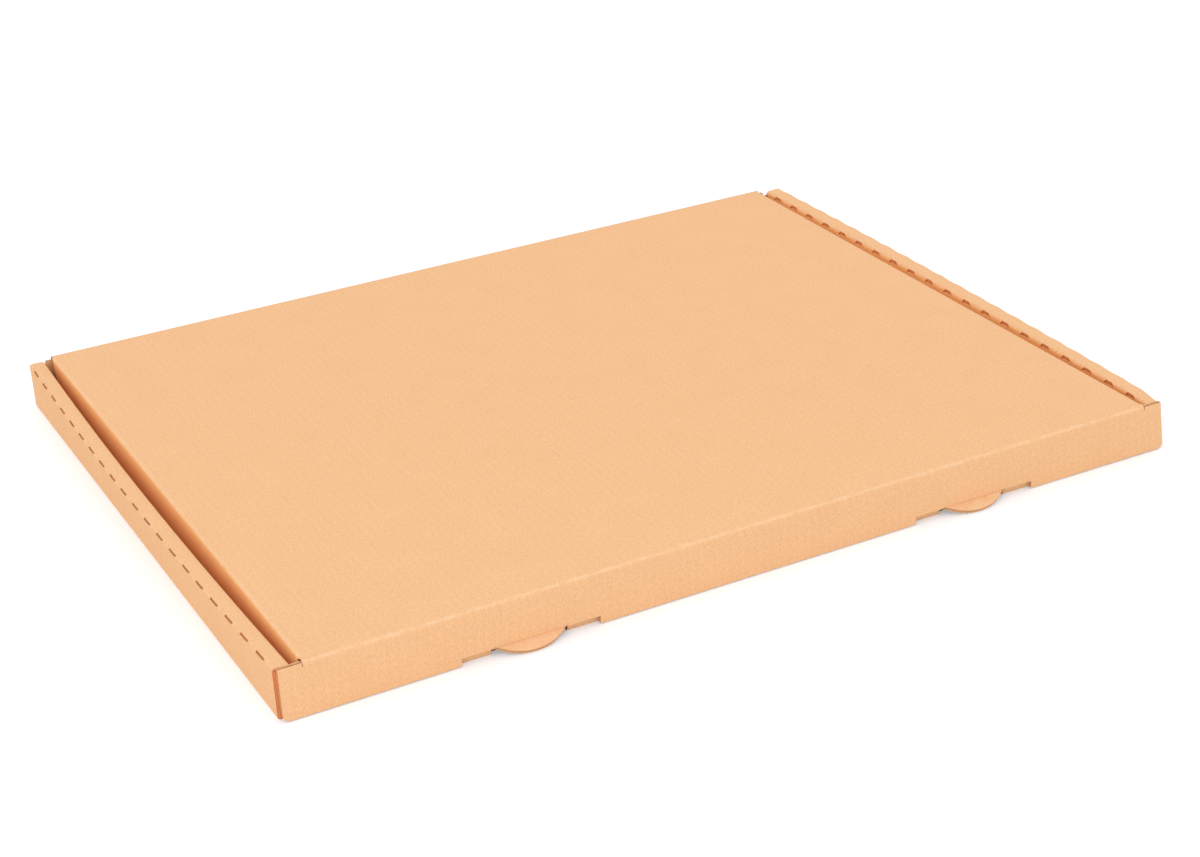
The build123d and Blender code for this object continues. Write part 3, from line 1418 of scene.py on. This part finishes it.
    def cuts(self) -> list[Loop]:
        """Perforations, locking slots in the base and the thumb tabs' slots.

        Returns:
            The corners of each.
        """
        loops = self.slits(1, self.outer_slit) + self.slits(2, self.inner_slit)
        for side in (-1, 1):
            for end in (-1, 1):
                place = (side * (self.sizes.inner_face + self.board.half), end * self.lock_tab_spacing / 2)
                size = (self.board.half + self.lock_clearance, self.lock_tab_width / 2 + self.lock_clearance)
                loops.append(rectangle(place, size))
            near, far = self.slot_span
            place = (side * self.sizes.thumb_spacing / 2, -(far + near) / 2)
            loops.append(rectangle(place, (self.slot_reach, (far - near) / 2)))
        return loops

    def rows(self) -> list[Loop]:
        """Mesh rows along every crease, close together where the perforations make waves.

        Returns:
            The lines' points.
        """
        lines = []
        half = self.sizes.side_half
        bottom, outer, inner = self.side_chain.folds
        plain = bottom.rows(self.FOLD_STEPS, self.SUPPORT)
        waved = outer.rows(self.FOLD_STEPS, self.SUPPORT)
        waved += [outer.start - self.wave_reach / 2, outer.start - self.wave_reach]
        waved += [inner.end + self.wave_reach / 2, inner.end + self.wave_reach]
        gaping = inner.rows(self.FOLD_STEPS, self.SUPPORT)
        for side in (-1, 1):
            for runs, step in ((plain, 2 * half), (waved, self.wave_step), (gaping, self.slit_step)):
                lines += [span((side * run, -half), (side * run, half), step) for run in runs]
        for run in self.end_chain.folds[0].rows(self.FOLD_STEPS, self.SUPPORT):
            for end in (-1, 1):
                lines.append([(-self.sizes.end_half, end * run), (self.sizes.end_half, end * run)])
        low, high = self.corner_flap_span
        for run in self.corner_chain.folds[0].rows(self.FOLD_STEPS, self.SUPPORT):
            for side in (-1, 1):
                lines += [[(side * run, end * low), (side * run, end * high)] for end in (-1, 1)]
        return lines

    def open_edges(self) -> list[CutEdge]:
        """Front wall's top and both slots.

        Returns:
            The edges.
        """
        box = self.sizes
        top, reach = self.front_top, self.slot_reach
        edges = [CutEdge((-box.end_half, -top), (box.end_half, -top), 1)]
        near, far = self.slot_span
        for side in (-1, 1):
            middle = side * box.thumb_spacing / 2
            edges.append(CutEdge((middle - reach, -far), (middle + reach, -far), -1))
            edges.append(CutEdge((middle - reach, -near), (middle + reach, -near), 1))
        return edges

    def relief(self, u: np.ndarray, v: np.ndarray) -> np.ndarray:
        """The roll-over's outer crease stands out at its cuts.

        Args:
            u: Places across the sheet.
            v: Places along the sheet.

        Returns:
            The heights.
        """
        wave = 0.5 + 0.5 * np.cos(FULL_TURN * (v - self.perforations()[0]) / self.perforation_pitch)
        fade = np.clip(1 - np.abs(np.abs(u) - self.side_chain.folds[1].middle) / self.wave_reach, 0, 1)
        on_side = np.abs(v) <= self.sizes.side_half
        return np.where(on_side, -self.outer_wave * wave * fade**2, 0)

    def gape(self, u: np.ndarray, v: np.ndarray) -> np.ndarray:
        """How far the board stays straight at the cuts of the inner crease, less on the left.

        Args:
            u: Places across the sheet.
            v: Places along the side wall.

        Returns:
            0 where the crease bends to 1 in the middle of a cut.
        """
        from_cut = np.abs(v[:, None] - self.perforations()[None, :]).min(axis=1)
        share = np.clip((self.perforation_cut / 2 - from_cut) / self.gape_fade, 0, 1)
        return smooth(share) * np.where(u > 0, 1, self.left_gape)

    def roll_side(self, u: np.ndarray, v: np.ndarray, w: np.ndarray) -> tuple[np.ndarray, np.ndarray]:
        """Rolls a side wall over; at the inner cuts its top stays straight and the wall meets it.

        Args:
            u: Places across the sheet.
            v: Places along the side wall.
            w: Heights above the board's middle.

        Returns:
            Places outwards from the middle and above the base's middle.
        """
        run = np.abs(u)
        x, z = self.side_chain.roll(run, w)
        straight = FoldChain(self.side_chain.folds[:2], self.side_chain.length)
        flat_x, flat_z = straight.roll(run, w)
        inner = self.side_chain.folds[2]
        gape = self.gape(u, v)
        share = np.where((run > inner.start) & (run < self.inner_cut), gape, 0)
        z += share * (flat_z - z)
        below = run - self.inner_cut
        lack = self.inner_cut + self.inner_slit - inner.end + inner.radius - self.board.half
        z += np.where(below > 0, gape * lack * np.clip(1 - below / self.shut_reach, 0, 1), 0)
        return x + share * (flat_x - x), z

    def stray(self, u: np.ndarray, v: np.ndarray, z: np.ndarray) -> np.ndarray:
        """How far a side wall strays outwards: both bow, and the right one leans in at the front.

        Args:
            u: Places across the sheet.
            v: Places along the side wall.
            z: Heights after folding, above the base's middle.

        Returns:
            The distances outwards.
        """
        half = self.sizes.side_half
        along = np.clip(v / half, -1, 1)
        bowed = 1 - along**2
        lean = self.right_front + (self.right_back - self.right_front) * (1 + along) / 2
        right = self.right_bow * bowed + lean
        right -= self.right_pinch * np.clip(1 - half * (1 + along) / self.pinch_reach, 0, 1) ** 2
        _, outer, inner = self.side_chain.folds
        rolled = np.clip((u - outer.end) / (inner.start - outer.end), 0, 1)
        right *= 1 - (1 - self.inner_share) * rolled
        top = np.where(u > 0, right, self.left_bow * bowed)
        return top * np.clip(z / self.sizes.wall_height, 0, 1)

    def warmth(self, u: np.ndarray, v: np.ndarray) -> np.ndarray:
        """Painted shade on the inner walls, less towards the base.

        Args:
            u: Places across the sheet.
            v: Places along the sheet.

        Returns:
            0 in the open to 1 in a gap.
        """
        fold = self.side_chain.folds[2]
        run = np.abs(u)
        turned = np.clip((run - fold.middle) / (fold.end - fold.middle), 0, 1)
        foot = self.side_chain.length
        fade = np.clip((foot - run) / (foot - fold.end - self.wave_reach), 0, 1)
        level = np.where(run < self.inner_cut, self.gape(u, v), 0)
        on_side = np.abs(v) <= self.sizes.side_half
        return np.where(on_side, self.painted_shade_share * turned * fade * (1 - level), 0)

    def rub_and_painted_light_marks(self, u: np.ndarray, v: np.ndarray) -> np.ndarray:
        """Rubbed along the folds at the base."""
        return self.near(np.abs(u), self.side_chain.folds[0].middle)

    def fold(self, u: np.ndarray, v: np.ndarray, w: np.ndarray) -> np.ndarray:
        """Folds corner flaps, then end walls; side walls roll over, and the flaps stray with them.

        Args:
            u: Places across the sheet.
            v: Places along the sheet.
            w: Heights above the board's middle.

        Returns:
            The points in the row frame.
        """
        box = self.sizes
        run_u, run_v = np.abs(u), np.abs(v)
        side_x, side_z = self.roll_side(u, v, w)
        flap_x, flap_in = self.corner_chain.roll(run_u, w)
        end_y, end_z = self.end_chain.roll(run_v, flap_in)
        on_end = (run_v > self.end_chain.folds[0].start) & (
            (run_u < box.end_half + box.slit / 2) | (run_v > box.side_half + box.slit)
        )
        y = np.where(on_end, np.sign(v) * end_y, v)
        z = np.where(on_end, end_z, side_z)
        turned = (run_u - box.end_half) / (self.corner_chain.folds[0].end - box.end_half)
        share = np.where(on_end, np.clip(turned, 0, 1), run_u > self.side_chain.folds[0].start)
        x = np.where(on_end, flap_x, side_x) + share * self.stray(u, y, z)
        return np.column_stack([np.sign(u) * x, y, z + self.board.half])


@dataclass
class LidSheet(FoldedSheet):
    """Lid panel with its two tuck-in side flaps.

    Attributes:
        side_front: From the front crease to the start of a side flap.
        side_back: From the back crease to the end of a side flap.
        side_slant: How far a side flap's tip stands out past its fold.
        shoulder: How far a side flap's ends step in below its fold.
        taper: Height of the slant at a side flap's ends.
        bow: How far the panel's middle rises.
        painted_shade_share: Strength of the painted shade, a warmer colour, on the side flaps.
        grid: Between points over the panel.
        chain: The fold from the panel to a side flap.
        front: Y of the panel's front edge, where the crease begins.
        back: Y of its back edge.
        flap_front: Y of the side flaps' front ends.
        flap_back: Y of their back ends.
    """

    side_front: float = 1.6 * MM
    side_back: float = 1.6 * MM
    side_slant: float = 0.3 * MM
    shoulder: float = 1.4 * MM
    taper: float = 8.0 * MM
    bow: float = 0.4 * MM
    painted_shade_share: float = 0.8
    grid: float = 11.0 * MM
    chain: FoldChain = field(init=False)
    front: float = field(init=False)
    back: float = field(init=False)
    flap_front: float = field(init=False)
    flap_back: float = field(init=False)

    def __post_init__(self) -> None:
        """Works out the side folds and where the side flaps start and end."""
        box = self.sizes
        face = box.lid_face - self.board.half
        corners = [(0, 0), (face - self.side_slant, 0), (face, box.lid_low - box.crease_z)]
        self.chain = FoldChain.through(corners, [self.board.lid_fold_radius], self.board)
        self.front = box.front_crease + self.board.crease_radius
        self.back = box.back_crease - self.board.crease_radius
        self.flap_front = box.front_crease + self.side_front
        self.flap_back = box.back_crease - self.side_back

    def outline(self) -> Loop:
        """Outer edge, with a short cut beside each end of a side flap.

        Returns:
            Its corners, in order.
        """
        box = self.sizes
        fold, tip, taper = self.chain.folds[0], self.chain.length, self.taper
        low_front, low_back = self.flap_front + self.shoulder, self.flap_back - self.shoulder
        right = [
            (box.crease_half, self.front), (box.crease_half, self.flap_front - box.slit),
            (fold.start, self.flap_front - box.slit), (fold.start, self.flap_front),
            (fold.middle, self.flap_front), (fold.end, low_front),
            (tip - taper, low_front), (tip, low_front + taper / 2),
            (tip, low_back - taper / 2), (tip - taper, low_back),
            (fold.end, low_back), (fold.middle, self.flap_back),
            (fold.start, self.flap_back), (fold.start, self.flap_back + box.slit),
            (box.crease_half, self.flap_back + box.slit), (box.crease_half, self.back),
        ]
        return right + [(-u, v) for u, v in right[::-1]]

    def rows(self) -> list[Loop]:
        """Mesh rows along the side folds.

        Returns:
            The lines' points.
        """
        lines = []
        for run in self.chain.folds[0].rows(self.FOLD_STEPS, self.SUPPORT):
            for side in (-1, 1):
                lines.append(span((side * run, self.flap_front), (side * run, self.flap_back), self.grid))
        return lines

    def extra_points(self) -> Loop:
        """A grid over the panel.

        Returns:
            The points.
        """
        edge = self.chain.folds[0].start - self.SUPPORT - self.grid / 2
        columns = span((-edge, 0), (edge, 0), self.grid)
        lines = span((0, self.front + self.grid / 2), (0, self.back - self.grid / 2), self.grid)
        return [(u, v) for u, _ in columns for _, v in lines]

    def open_edges(self) -> list[CutEdge]:
        """Ends of the side flaps, with their slants.

        Returns:
            The edges.
        """
        edges = []
        high, tip = self.chain.folds[0].end, self.chain.length
        turn = tip - self.taper
        for place, inward in ((self.flap_front, 1), (self.flap_back, -1)):
            end = place + inward * self.shoulder
            far = end + inward * self.taper / 2
            edges += [CutEdge((high, end), (turn, end), inward), CutEdge((turn, end), (tip, far), inward)]
            edges += [CutEdge((-turn, end), (-high, end), inward), CutEdge((-tip, far), (-turn, end), inward)]
        return edges

    def relief(self, u: np.ndarray, v: np.ndarray) -> np.ndarray:
        """A slight bow, level along the creases.

        Args:
            u: Places across the sheet.
            v: Places along the sheet.

        Returns:
            The heights.
        """
        half = (self.back - self.front) / 2
        middle = (self.back + self.front) / 2
        across = np.clip(1 - (u / self.chain.folds[0].start) ** 2, 0, 1)
        along = np.clip(1 - ((v - middle) / half) ** 2, 0, 1)
        return self.bow * across * along

    def warmth(self, u: np.ndarray, v: np.ndarray) -> np.ndarray:
        """Painted shade on the side flaps, less towards their tips.

        Args:
            u: Places across the sheet.
            v: Places along the sheet.

        Returns:
            0 in the open to 1 in a gap.
        """
        fold = self.chain.folds[0]
        run = np.abs(u)
        turned = np.clip((run - fold.middle) / (fold.end - fold.middle), 0, 1)
        fade = np.clip((self.chain.length - run) / (self.chain.length - fold.end), 0, 1)
        return np.where(self.on_flap(v), self.painted_shade_share * turned * fade, 0)

    def rub_and_painted_light_marks(self, u: np.ndarray, v: np.ndarray) -> np.ndarray:
        """Rubbed along the side folds, half as much as the tray is."""
        return self.near(np.abs(u), self.chain.folds[0].middle) / 2

    def on_flap(self, v: np.ndarray) -> np.ndarray:
        """Tells which points lie between the ends of the side flaps.

        Args:
            v: Places along the sheet.

        Returns:
            A flag for each point.
        """
        slit = self.sizes.slit / 2
        return (v > self.flap_front - slit) & (v < self.flap_back + slit)

    def fold(self, u: np.ndarray, v: np.ndarray, w: np.ndarray) -> np.ndarray:
        """Folds the side flaps down.

        Args:
            u: Places across the sheet.
            v: Places along the sheet.
            w: Heights above the board's middle.

        Returns:
            The points in the row frame.
        """
        x, z = self.chain.roll(np.abs(u), w)
        on_flap = self.on_flap(v)
        x = np.where(on_flap, np.sign(u) * x, u) + self.sizes.drawn_in(u, v)
        z = np.where(on_flap, z, w)
        return np.column_stack([x, v, self.sizes.crease_z + z])


@dataclass
class CreaseStrip(FoldedSheet):
    """The bent board of a crease that turns.

    Attributes:
        crease_y: Y of the crease.
        way: -1 if the board runs to the front from the lid, 1 if to the back.
        bend: The fold, which fills the strip.
        chain: The same as a chain.
        lid_end: Y of the bend's end at the lid.
    """

    crease_y: float = 0.0
    way: int = 1
    bend: Fold = field(init=False)
    chain: FoldChain = field(init=False)
    lid_end: float = field(init=False)

    def __post_init__(self) -> None:
        """Works out the single fold, which fills the strip."""
        self.bend = Fold(0.0, -QUARTER_TURN, self.board.crease_radius, self.board)
        self.chain = FoldChain((self.bend,), self.bend.length)
        self.lid_end = self.crease_y - self.way * self.board.crease_radius

    def outline(self) -> Loop:
        """A narrow rectangle, from the lid's end of the bend to the other."""
        half = self.sizes.crease_half
        return rectangle((0, self.way * self.bend.length / 2), (half, self.bend.length / 2))

    def rows(self) -> list[Loop]:
        """Mesh rows along the bend.

        Returns:
            The lines' points.
        """
        half = self.sizes.crease_half
        runs = [self.way * run for run in self.bend.rows(self.FOLD_STEPS, 0)[2:-2]]
        return [[(-half, run), (half, run)] for run in runs]

    def rub_and_painted_light_marks(self, u: np.ndarray, v: np.ndarray) -> np.ndarray:
        """Rubbed along the middle of the bend."""
        return self.near(np.abs(v), self.bend.middle)

    def fold(self, u: np.ndarray, v: np.ndarray, w: np.ndarray) -> np.ndarray:
        """Bends the strip down from the lid.

        Args:
            u: Places across the sheet.
            v: Places along the sheet.
            w: Heights above the board's middle.

        Returns:
            The points in the row frame.
        """
        along, up = self.chain.roll(np.abs(v), w)
        x = u + self.sizes.drawn_in(u, self.crease_y)
        return np.column_stack([x, self.lid_end + self.way * along, self.sizes.crease_z + up])

    def blend_points(self) -> tuple[Vector, Vector]:
        """Where the strip stops following the lid and where it follows the other panel.

        Returns:
            Both points, on the diagonal through the bend.
        """
        shift = (self.board.crease_radius - self.board.half) / 2
        middle = Vector((0, self.crease_y, self.sizes.crease_z))
        centre = middle - Vector((0, self.way, 1)) * self.board.crease_radius * (1 - math.sqrt(0.5))
        step = Vector((0, self.way, -1)) * shift
        return centre - step, centre + step


@dataclass
class FlapSheet(FoldedSheet):
    """Front flap with ears, notches and two thumb tabs bent outwards.

    Attributes:
        corner: Radius of the lower corners.
        ear_drop: From the lid's top to the top of the ears.
        thumb_depth: Length of a thumb tab from its root.
        thumb_splay: Angle that a thumb tab is bent outwards.
        thumb_floor_gap: From the floor to a thumb tab's tip.
        tab_painted_light: Strength of the painted light on the tabs, 0 to 1: they are paled so that they look
            as light as the flap.
        low_share: Share of the lid's draw at the right end that the lower edge follows.
        root_relief: Width of the cut beside a tab's root.
        bow: How far the free edge waves in and out.
        grid: Between points along the panel.
        top: Height where the panel hangs from its crease.
        root_z: Height of the notches and the tabs' roots.
        tab_chain: The fold from the panel to a tab.
        TAB_POINTS: Points along a tab's rounded edge.
        GRID_SHARES: Heights of the panel's points, as shares of the way down to the notches.
        EDGE_WAVES: Half-waves of the free edge on each half of the flap.
    """

    corner: float = 2.2 * MM
    ear_drop: float = 0.6 * MM
    thumb_depth: float = 5.0 * MM
    thumb_splay: float = math.radians(62)
    thumb_floor_gap: float = 0.2 * MM
    tab_painted_light: float = 0.6
    low_share: float = 0.2
    root_relief: float = 0.3 * MM
    bow: float = 0.3 * MM
    grid: float = 9.0 * MM
    top: float = field(init=False)
    root_z: float = field(init=False)
    tab_chain: FoldChain = field(init=False)

    TAB_POINTS: ClassVar[int] = 17
    GRID_SHARES: ClassVar[tuple[float, ...]] = (0.3, 0.6, 0.9)
    EDGE_WAVES: ClassVar[float] = 1.5

    def __post_init__(self) -> None:
        """Works out the heights of the outline and the tabs' fold."""
        box = self.sizes
        self.top = box.crease_z - self.board.crease_radius
        drop = self.thumb_depth * math.cos(self.thumb_splay) + self.board.half * math.sin(self.thumb_splay)
        self.root_z = self.thumb_floor_gap + drop
        corners = [(0, 0), (self.top - self.root_z, 0)]
        tip = (math.cos(self.thumb_splay), math.sin(self.thumb_splay))
        corners.append(tuple(a + self.thumb_depth * b for a, b in zip(corners[1], tip)))
        self.tab_chain = FoldChain.through(corners, [self.board.fold_radius], self.board)

    @property
    def ear(self) -> float:
        """V of the ears' upper edges."""
        return self.sizes.lid_top - self.ear_drop - self.top

    @property
    def low(self) -> float:
        """V of the lower edge."""
        return self.sizes.flap_low - self.top

    @property
    def notch(self) -> float:
        """V of the notches' upper edges."""
        return self.root_z - self.top

    def _half_outline(self) -> Loop:
        """Right half of the outline.

        Returns:
            Its corners from the top's middle round to the lower edge's middle.
        """
        box = self.sizes
        ear, low, notch = self.ear, self.low, self.notch
        cut = -self.tab_chain.folds[0].start + self.root_relief
        middle, half = box.thumb_spacing / 2, box.notch_width / 2
        root = box.thumb_chord / 2
        radius = (root**2 + self.thumb_depth**2) / (2 * self.thumb_depth)
        reach = math.asin(root / radius)
        centre = -self.tab_chain.length + radius
        tab = [
            (middle + radius * math.sin(angle), centre - radius * math.cos(angle))
            for angle in np.linspace(reach, -reach, self.TAB_POINTS)
        ]
        gap = root + self.root_relief
        return [
            (box.crease_half, 0), (box.crease_half, -box.slit), (box.crease_half + box.slit, -box.slit),
            (box.crease_half + box.slit, ear), (box.flap_half, ear),
            *arc((box.flap_half - self.corner, low + self.corner), self.corner, 0, -QUARTER_TURN),
            (middle + half, low), (middle + half, notch), (middle + gap, notch), (middle + gap, cut),
            (middle + root, cut), *tab, (middle - root, cut), (middle - gap, cut),
            (middle - gap, notch), (middle - half, notch), (middle - half, low),
        ]

    def crushed(self, u: np.ndarray) -> np.ndarray:
        """The medium is crushed at both ends of the flap."""
        return np.abs(u) > self.sizes.crease_half + 2 * self.sizes.slit

    def outline(self) -> Loop:
        """Outer edge of the flap."""
        right = self._half_outline()
        return right + [(-u, v) for u, v in right[::-1]]

    def rows(self) -> list[Loop]:
        """Mesh rows across the tabs' folds.

        Returns:
            The lines' points.
        """
        lines = []
        reach = self.sizes.thumb_chord / 2
        for run in self.tab_chain.folds[0].rows(self.FOLD_STEPS, self.SUPPORT)[1:]:
            for side in (-1, 1):
                middle = side * self.sizes.thumb_spacing / 2
                lines.append([(middle - reach, -run), (middle + reach, -run)])
        return lines

    def extra_points(self) -> Loop:
        """A coarse grid over the panel."""
        columns = span((-self.sizes.crease_half, 0), (self.sizes.crease_half, 0), self.grid)
        return [(u, self.notch * share) for u, _ in columns for share in self.GRID_SHARES]

    def open_edges(self) -> list[CutEdge]:
        """Lower edges between and beside the notches, the notches and the ears.

        Returns:
            The edges.
        """
        box = self.sizes
        ear, low, notch = self.ear, self.low, self.notch
        middle, half, root = box.thumb_spacing / 2, box.notch_width / 2, box.thumb_chord / 2
        end = box.flap_half - self.corner
        spans = [(-middle + half, middle - half, low, 1)]
        for side in (-1, 1):
            near, far = sorted((side * (middle + half), side * end))
            spans.append((near, far, low, 1))
            near, far = sorted((side * (box.crease_half + box.slit), side * box.flap_half))
            spans.append((near, far, ear, -1))
            for part in (-1, 1):
                near, far = sorted((side * middle + part * root, side * middle + part * half))
                spans.append((near, far, notch, 1))
        return [CutEdge((near, v), (far, v), inward) for near, far, v, inward in spans]

    def relief(self, u: np.ndarray, v: np.ndarray) -> np.ndarray:
        """The flap's free edge waves a little in and out."""
        fade = np.clip(-v / self.top, 0, 1)
        return self.bow * np.cos(self.EDGE_WAVES * math.pi * u / self.sizes.flap_half) * fade**2

    def rub_and_painted_light_marks(self, u: np.ndarray, v: np.ndarray) -> np.ndarray:
        """Painted light all over the tabs: they are paled so that they look as light as the flap."""
        on_tab = np.abs(np.abs(u) - self.sizes.thumb_spacing / 2) < self.sizes.thumb_chord / 2
        return np.where(on_tab & (-v > self.tab_chain.folds[0].start), self.tab_painted_light, 0)

    def fold(self, u: np.ndarray, v: np.ndarray, w: np.ndarray) -> np.ndarray:
        """Hangs the flap upright and bends its tabs outwards.

        Args:
            u: Places across the sheet.
            v: Places along the sheet.
            w: Heights above the board's middle.

        Returns:
            The points in the row frame.
        """
        box = self.sizes
        tab_start = self.tab_chain.folds[0].start
        reach = box.thumb_chord / 2 + self.root_relief / 2
        on_tab = (np.abs(np.abs(u) - box.thumb_spacing / 2) < reach) & (-v > tab_start)
        down, out = self.tab_chain.roll(-v, w)
        down = np.where(on_tab, down, -v)
        out = np.where(on_tab, out, w)
        ear = box.flap_half - box.crease_half - box.slit
        fall = np.clip((box.flap_half - np.abs(u)) / ear, 0, 1)
        slant = 1 - (1 - self.low_share) * np.clip(-v / self.top, 0, 1)
        x = u + np.where(u > 0, slant, fall) * box.drawn_in(u, box.front_crease)
        return np.column_stack([x, box.front_crease - out, self.top - down])


@dataclass(frozen=True)
class Studio:
    """White surroundings, soft light and the photograph's camera.

    Attributes:
        sky: Colour and strength of the even light from all round.
        key_power: Power of the soft lamp.
        key_place: Where the lamp stands; it faces the box.
        key_size: Width of the lamp.
        floor_size: Width of the floor.
        floor_colour: Its colour under the light.
        floor_glow: Light that the camera sees on the floor besides, so that it comes out white.
        camera_place: Where the camera stands.
        azimuth: Angle of the view from +Y towards +X.
        elevation: Angle of the view below the horizon.
        roll: Turn about the line of sight.
        lens: Focal length in millimetres.
        picture_width: Width of the picture in millimetres that the lens is given for.
    """

    sky: Colour = (0.95, 0.98, 1.03)
    key_power: float = 4.5
    key_place: tuple[float, float, float] = (-0.95, -1.2, 0.75)
    key_size: float = 1.4
    floor_size: float = 12.0
    floor_colour: float = 0.86
    floor_glow: float = 0.28
    camera_place: tuple[float, float, float] = (-0.34895, -0.70285, 0.38213)
    azimuth: float = math.radians(27.064)
    elevation: float = math.radians(26.09)
    roll: float = math.radians(-2.714)
    lens: float = 69.6
    picture_width: float = 36.0

    def build(self) -> None:
        """Adds the world, the floor, the lamp and the camera, and sets the view transform."""
        scene = bpy.context.scene
        scene.view_settings.view_transform = "Standard"
        scene.world = self._world()
        self._floor()
        self._key()
        scene.camera = self._camera()

    def _world(self) -> bpy.types.World:
        """Builds an even sky that is white to the camera.

        Returns:
            The world.
        """
        world = bpy.data.worlds.new("white_surroundings")
        world.use_nodes = True
        world.node_tree.nodes.clear()
        graph = Graph(world.node_tree)
        path = graph.add("ShaderNodeLightPath").outputs
        seen = graph.math("MAXIMUM", path["Is Camera Ray"], path["Is Glossy Ray"])
        seen = graph.math("MAXIMUM", seen, path["Is Transmission Ray"])
        lit = graph.add("ShaderNodeBackground", {"Color": (*self.sky, 1)}).outputs[0]
        white = graph.add("ShaderNodeBackground", {"Color": (1, 1, 1, 1)}).outputs[0]
        mixed = graph.add("ShaderNodeMixShader", {0: seen, 1: lit, 2: white}).outputs[0]
        graph.add("ShaderNodeOutputWorld", {"Surface": mixed})
        return world

    def _floor(self) -> None:
        """Adds the floor under the box."""
        mesh = bpy.data.meshes.new("floor")
        half = self.floor_size / 2
        corners = [(-half, -half, 0), (half, -half, 0), (half, half, 0), (-half, half, 0)]
        mesh.from_pydata(corners, [], [(0, 1, 2, 3)])
        floor = bpy.data.objects.new("floor", mesh)
        bpy.context.scene.collection.objects.link(floor)
        finish = bpy.data.materials.new("white_floor")
        finish.use_nodes = True
        finish.node_tree.nodes.clear()
        graph = Graph(finish.node_tree)
        grey = (self.floor_colour, self.floor_colour, self.floor_colour, 1)
        matt = graph.add("ShaderNodeBsdfDiffuse", {"Color": grey}).outputs[0]
        seen = graph.add("ShaderNodeLightPath").outputs["Is Camera Ray"]
        glow = graph.math("MULTIPLY", seen, self.floor_glow)
        light = graph.add("ShaderNodeEmission", {"Color": (1, 1, 1, 1), "Strength": glow}).outputs[0]
        both = graph.add("ShaderNodeAddShader", {0: matt, 1: light}).outputs[0]
        graph.add("ShaderNodeOutputMaterial", {"Surface": both})
        mesh.materials.append(finish)

    def _key(self) -> None:
        """Adds the soft lamp, facing the box."""
        lamp = bpy.data.lights.new("soft_key", "AREA")
        lamp.energy = self.key_power
        lamp.size = self.key_size
        key = bpy.data.objects.new("soft_key", lamp)
        bpy.context.scene.collection.objects.link(key)
        key.location = self.key_place
        key.rotation_euler = (-Vector(self.key_place)).to_track_quat("-Z", "Y").to_euler()

    def _camera(self) -> bpy.types.Object:
        """Adds the camera at the photograph's angle.

        Returns:
            The camera.
        """
        optics = bpy.data.cameras.new("camera")
        optics.sensor_width = self.picture_width
        optics.lens = self.lens
        camera = bpy.data.objects.new("camera", optics)
        bpy.context.scene.collection.objects.link(camera)
        heading = Matrix.Rotation(-self.azimuth, 4, "Z")
        tilt = Matrix.Rotation(QUARTER_TURN - self.elevation, 4, "X")
        turned = heading @ tilt @ Matrix.Rotation(self.roll, 4, "Z")
        camera.matrix_world = Matrix.Translation(self.camera_place) @ turned
        return camera


FINISHES = {
    Surface.LINER: PaperFinish(
        "kraft_liner",
        colour=(0.985, 0.578, 0.298),
        fibre=(0.80, 0.42, 0.19),
        rub_and_painted_light=(0.95, 0.66, 0.42),
    ),
    Surface.CUT_EDGE: PaperFinish(
        "kraft_cut_edge",
        colour=(0.86, 0.52, 0.29),
        fibre=(0.62, 0.32, 0.15),
        rub_and_painted_light=(0.9, 0.58, 0.34),
        bar_share=0.0,
    ),
    Surface.MEDIUM: PaperFinish(
        "kraft_medium",
        colour=(0.66, 0.32, 0.14),
        fibre=(0.48, 0.2, 0.08),
        rub_and_painted_light=(0.66, 0.32, 0.14),
        speck=(0.3, 0.13, 0.05),
        bar_share=0.0,
    ),
    # Crushed cut faces: darker and redder than the cut edge, partly painted shade for the perforations and
    # seams, which lie in shade.
    Surface.CRUSHED_AND_SHADED: PaperFinish(
        "kraft_crushed",
        colour=(0.74, 0.23, 0.07),
        fibre=(0.66, 0.2, 0.06),
        rub_and_painted_light=(0.74, 0.23, 0.07),
        bar_share=0.0,
    ),
    # Wall ends: brighter and redder than the medium, painted light for the paler stripe in the shaded seam
    # beside the front flap.
    Surface.WALL_END: PaperFinish(
        "kraft_wall_end",
        colour=(0.94, 0.35, 0.13),
        fibre=(0.82, 0.29, 0.1),
        rub_and_painted_light=(0.94, 0.35, 0.13),
        bar_share=0.0,
    ),
}


def main() -> None:
    """Builds the box's pieces in order, then its surroundings."""
    logging.basicConfig(level=logging.INFO, format="%(message)s")
    sizes = Sizes.from_frame()
    board = Board(sizes.board)
    groups = (paper_group(), flute_group())
    finishes = [FINISHES[surface].material(*groups) for surface in Surface]
    flutes = FluteMaker(board, finishes[Surface.MEDIUM.value])
    shared = (sizes, board, flutes, finishes)

    tray = TraySheet("folded_tray", *shared)
    lid = LidSheet("folded_lid", *shared)
    flap = FlapSheet("folded_flap", *shared)
    for sheet, node in ((tray, "tray"), (lid, "lid"), (flap, "front_flap")):
        piece = sheet.build()
        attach(piece, node)
        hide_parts(node)
        log.info("%s: %d faces, in place of %s", piece.name, len(piece.data.polygons), node)
    back = CreaseStrip("back_crease", *shared, crease_y=sizes.back_crease, way=1)
    front = CreaseStrip("front_crease", *shared, crease_y=sizes.front_crease, way=-1)
    for strip, other in ((back, "tray"), (front, "front_flap")):
        piece = strip.build()
        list(strip.blend_points())
        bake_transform(piece)
        log.info("%s: %d faces, between lid and %s", piece.name, len(piece.data.polygons), other)

    Studio().build()


if __name__ == "__main__":
    main()
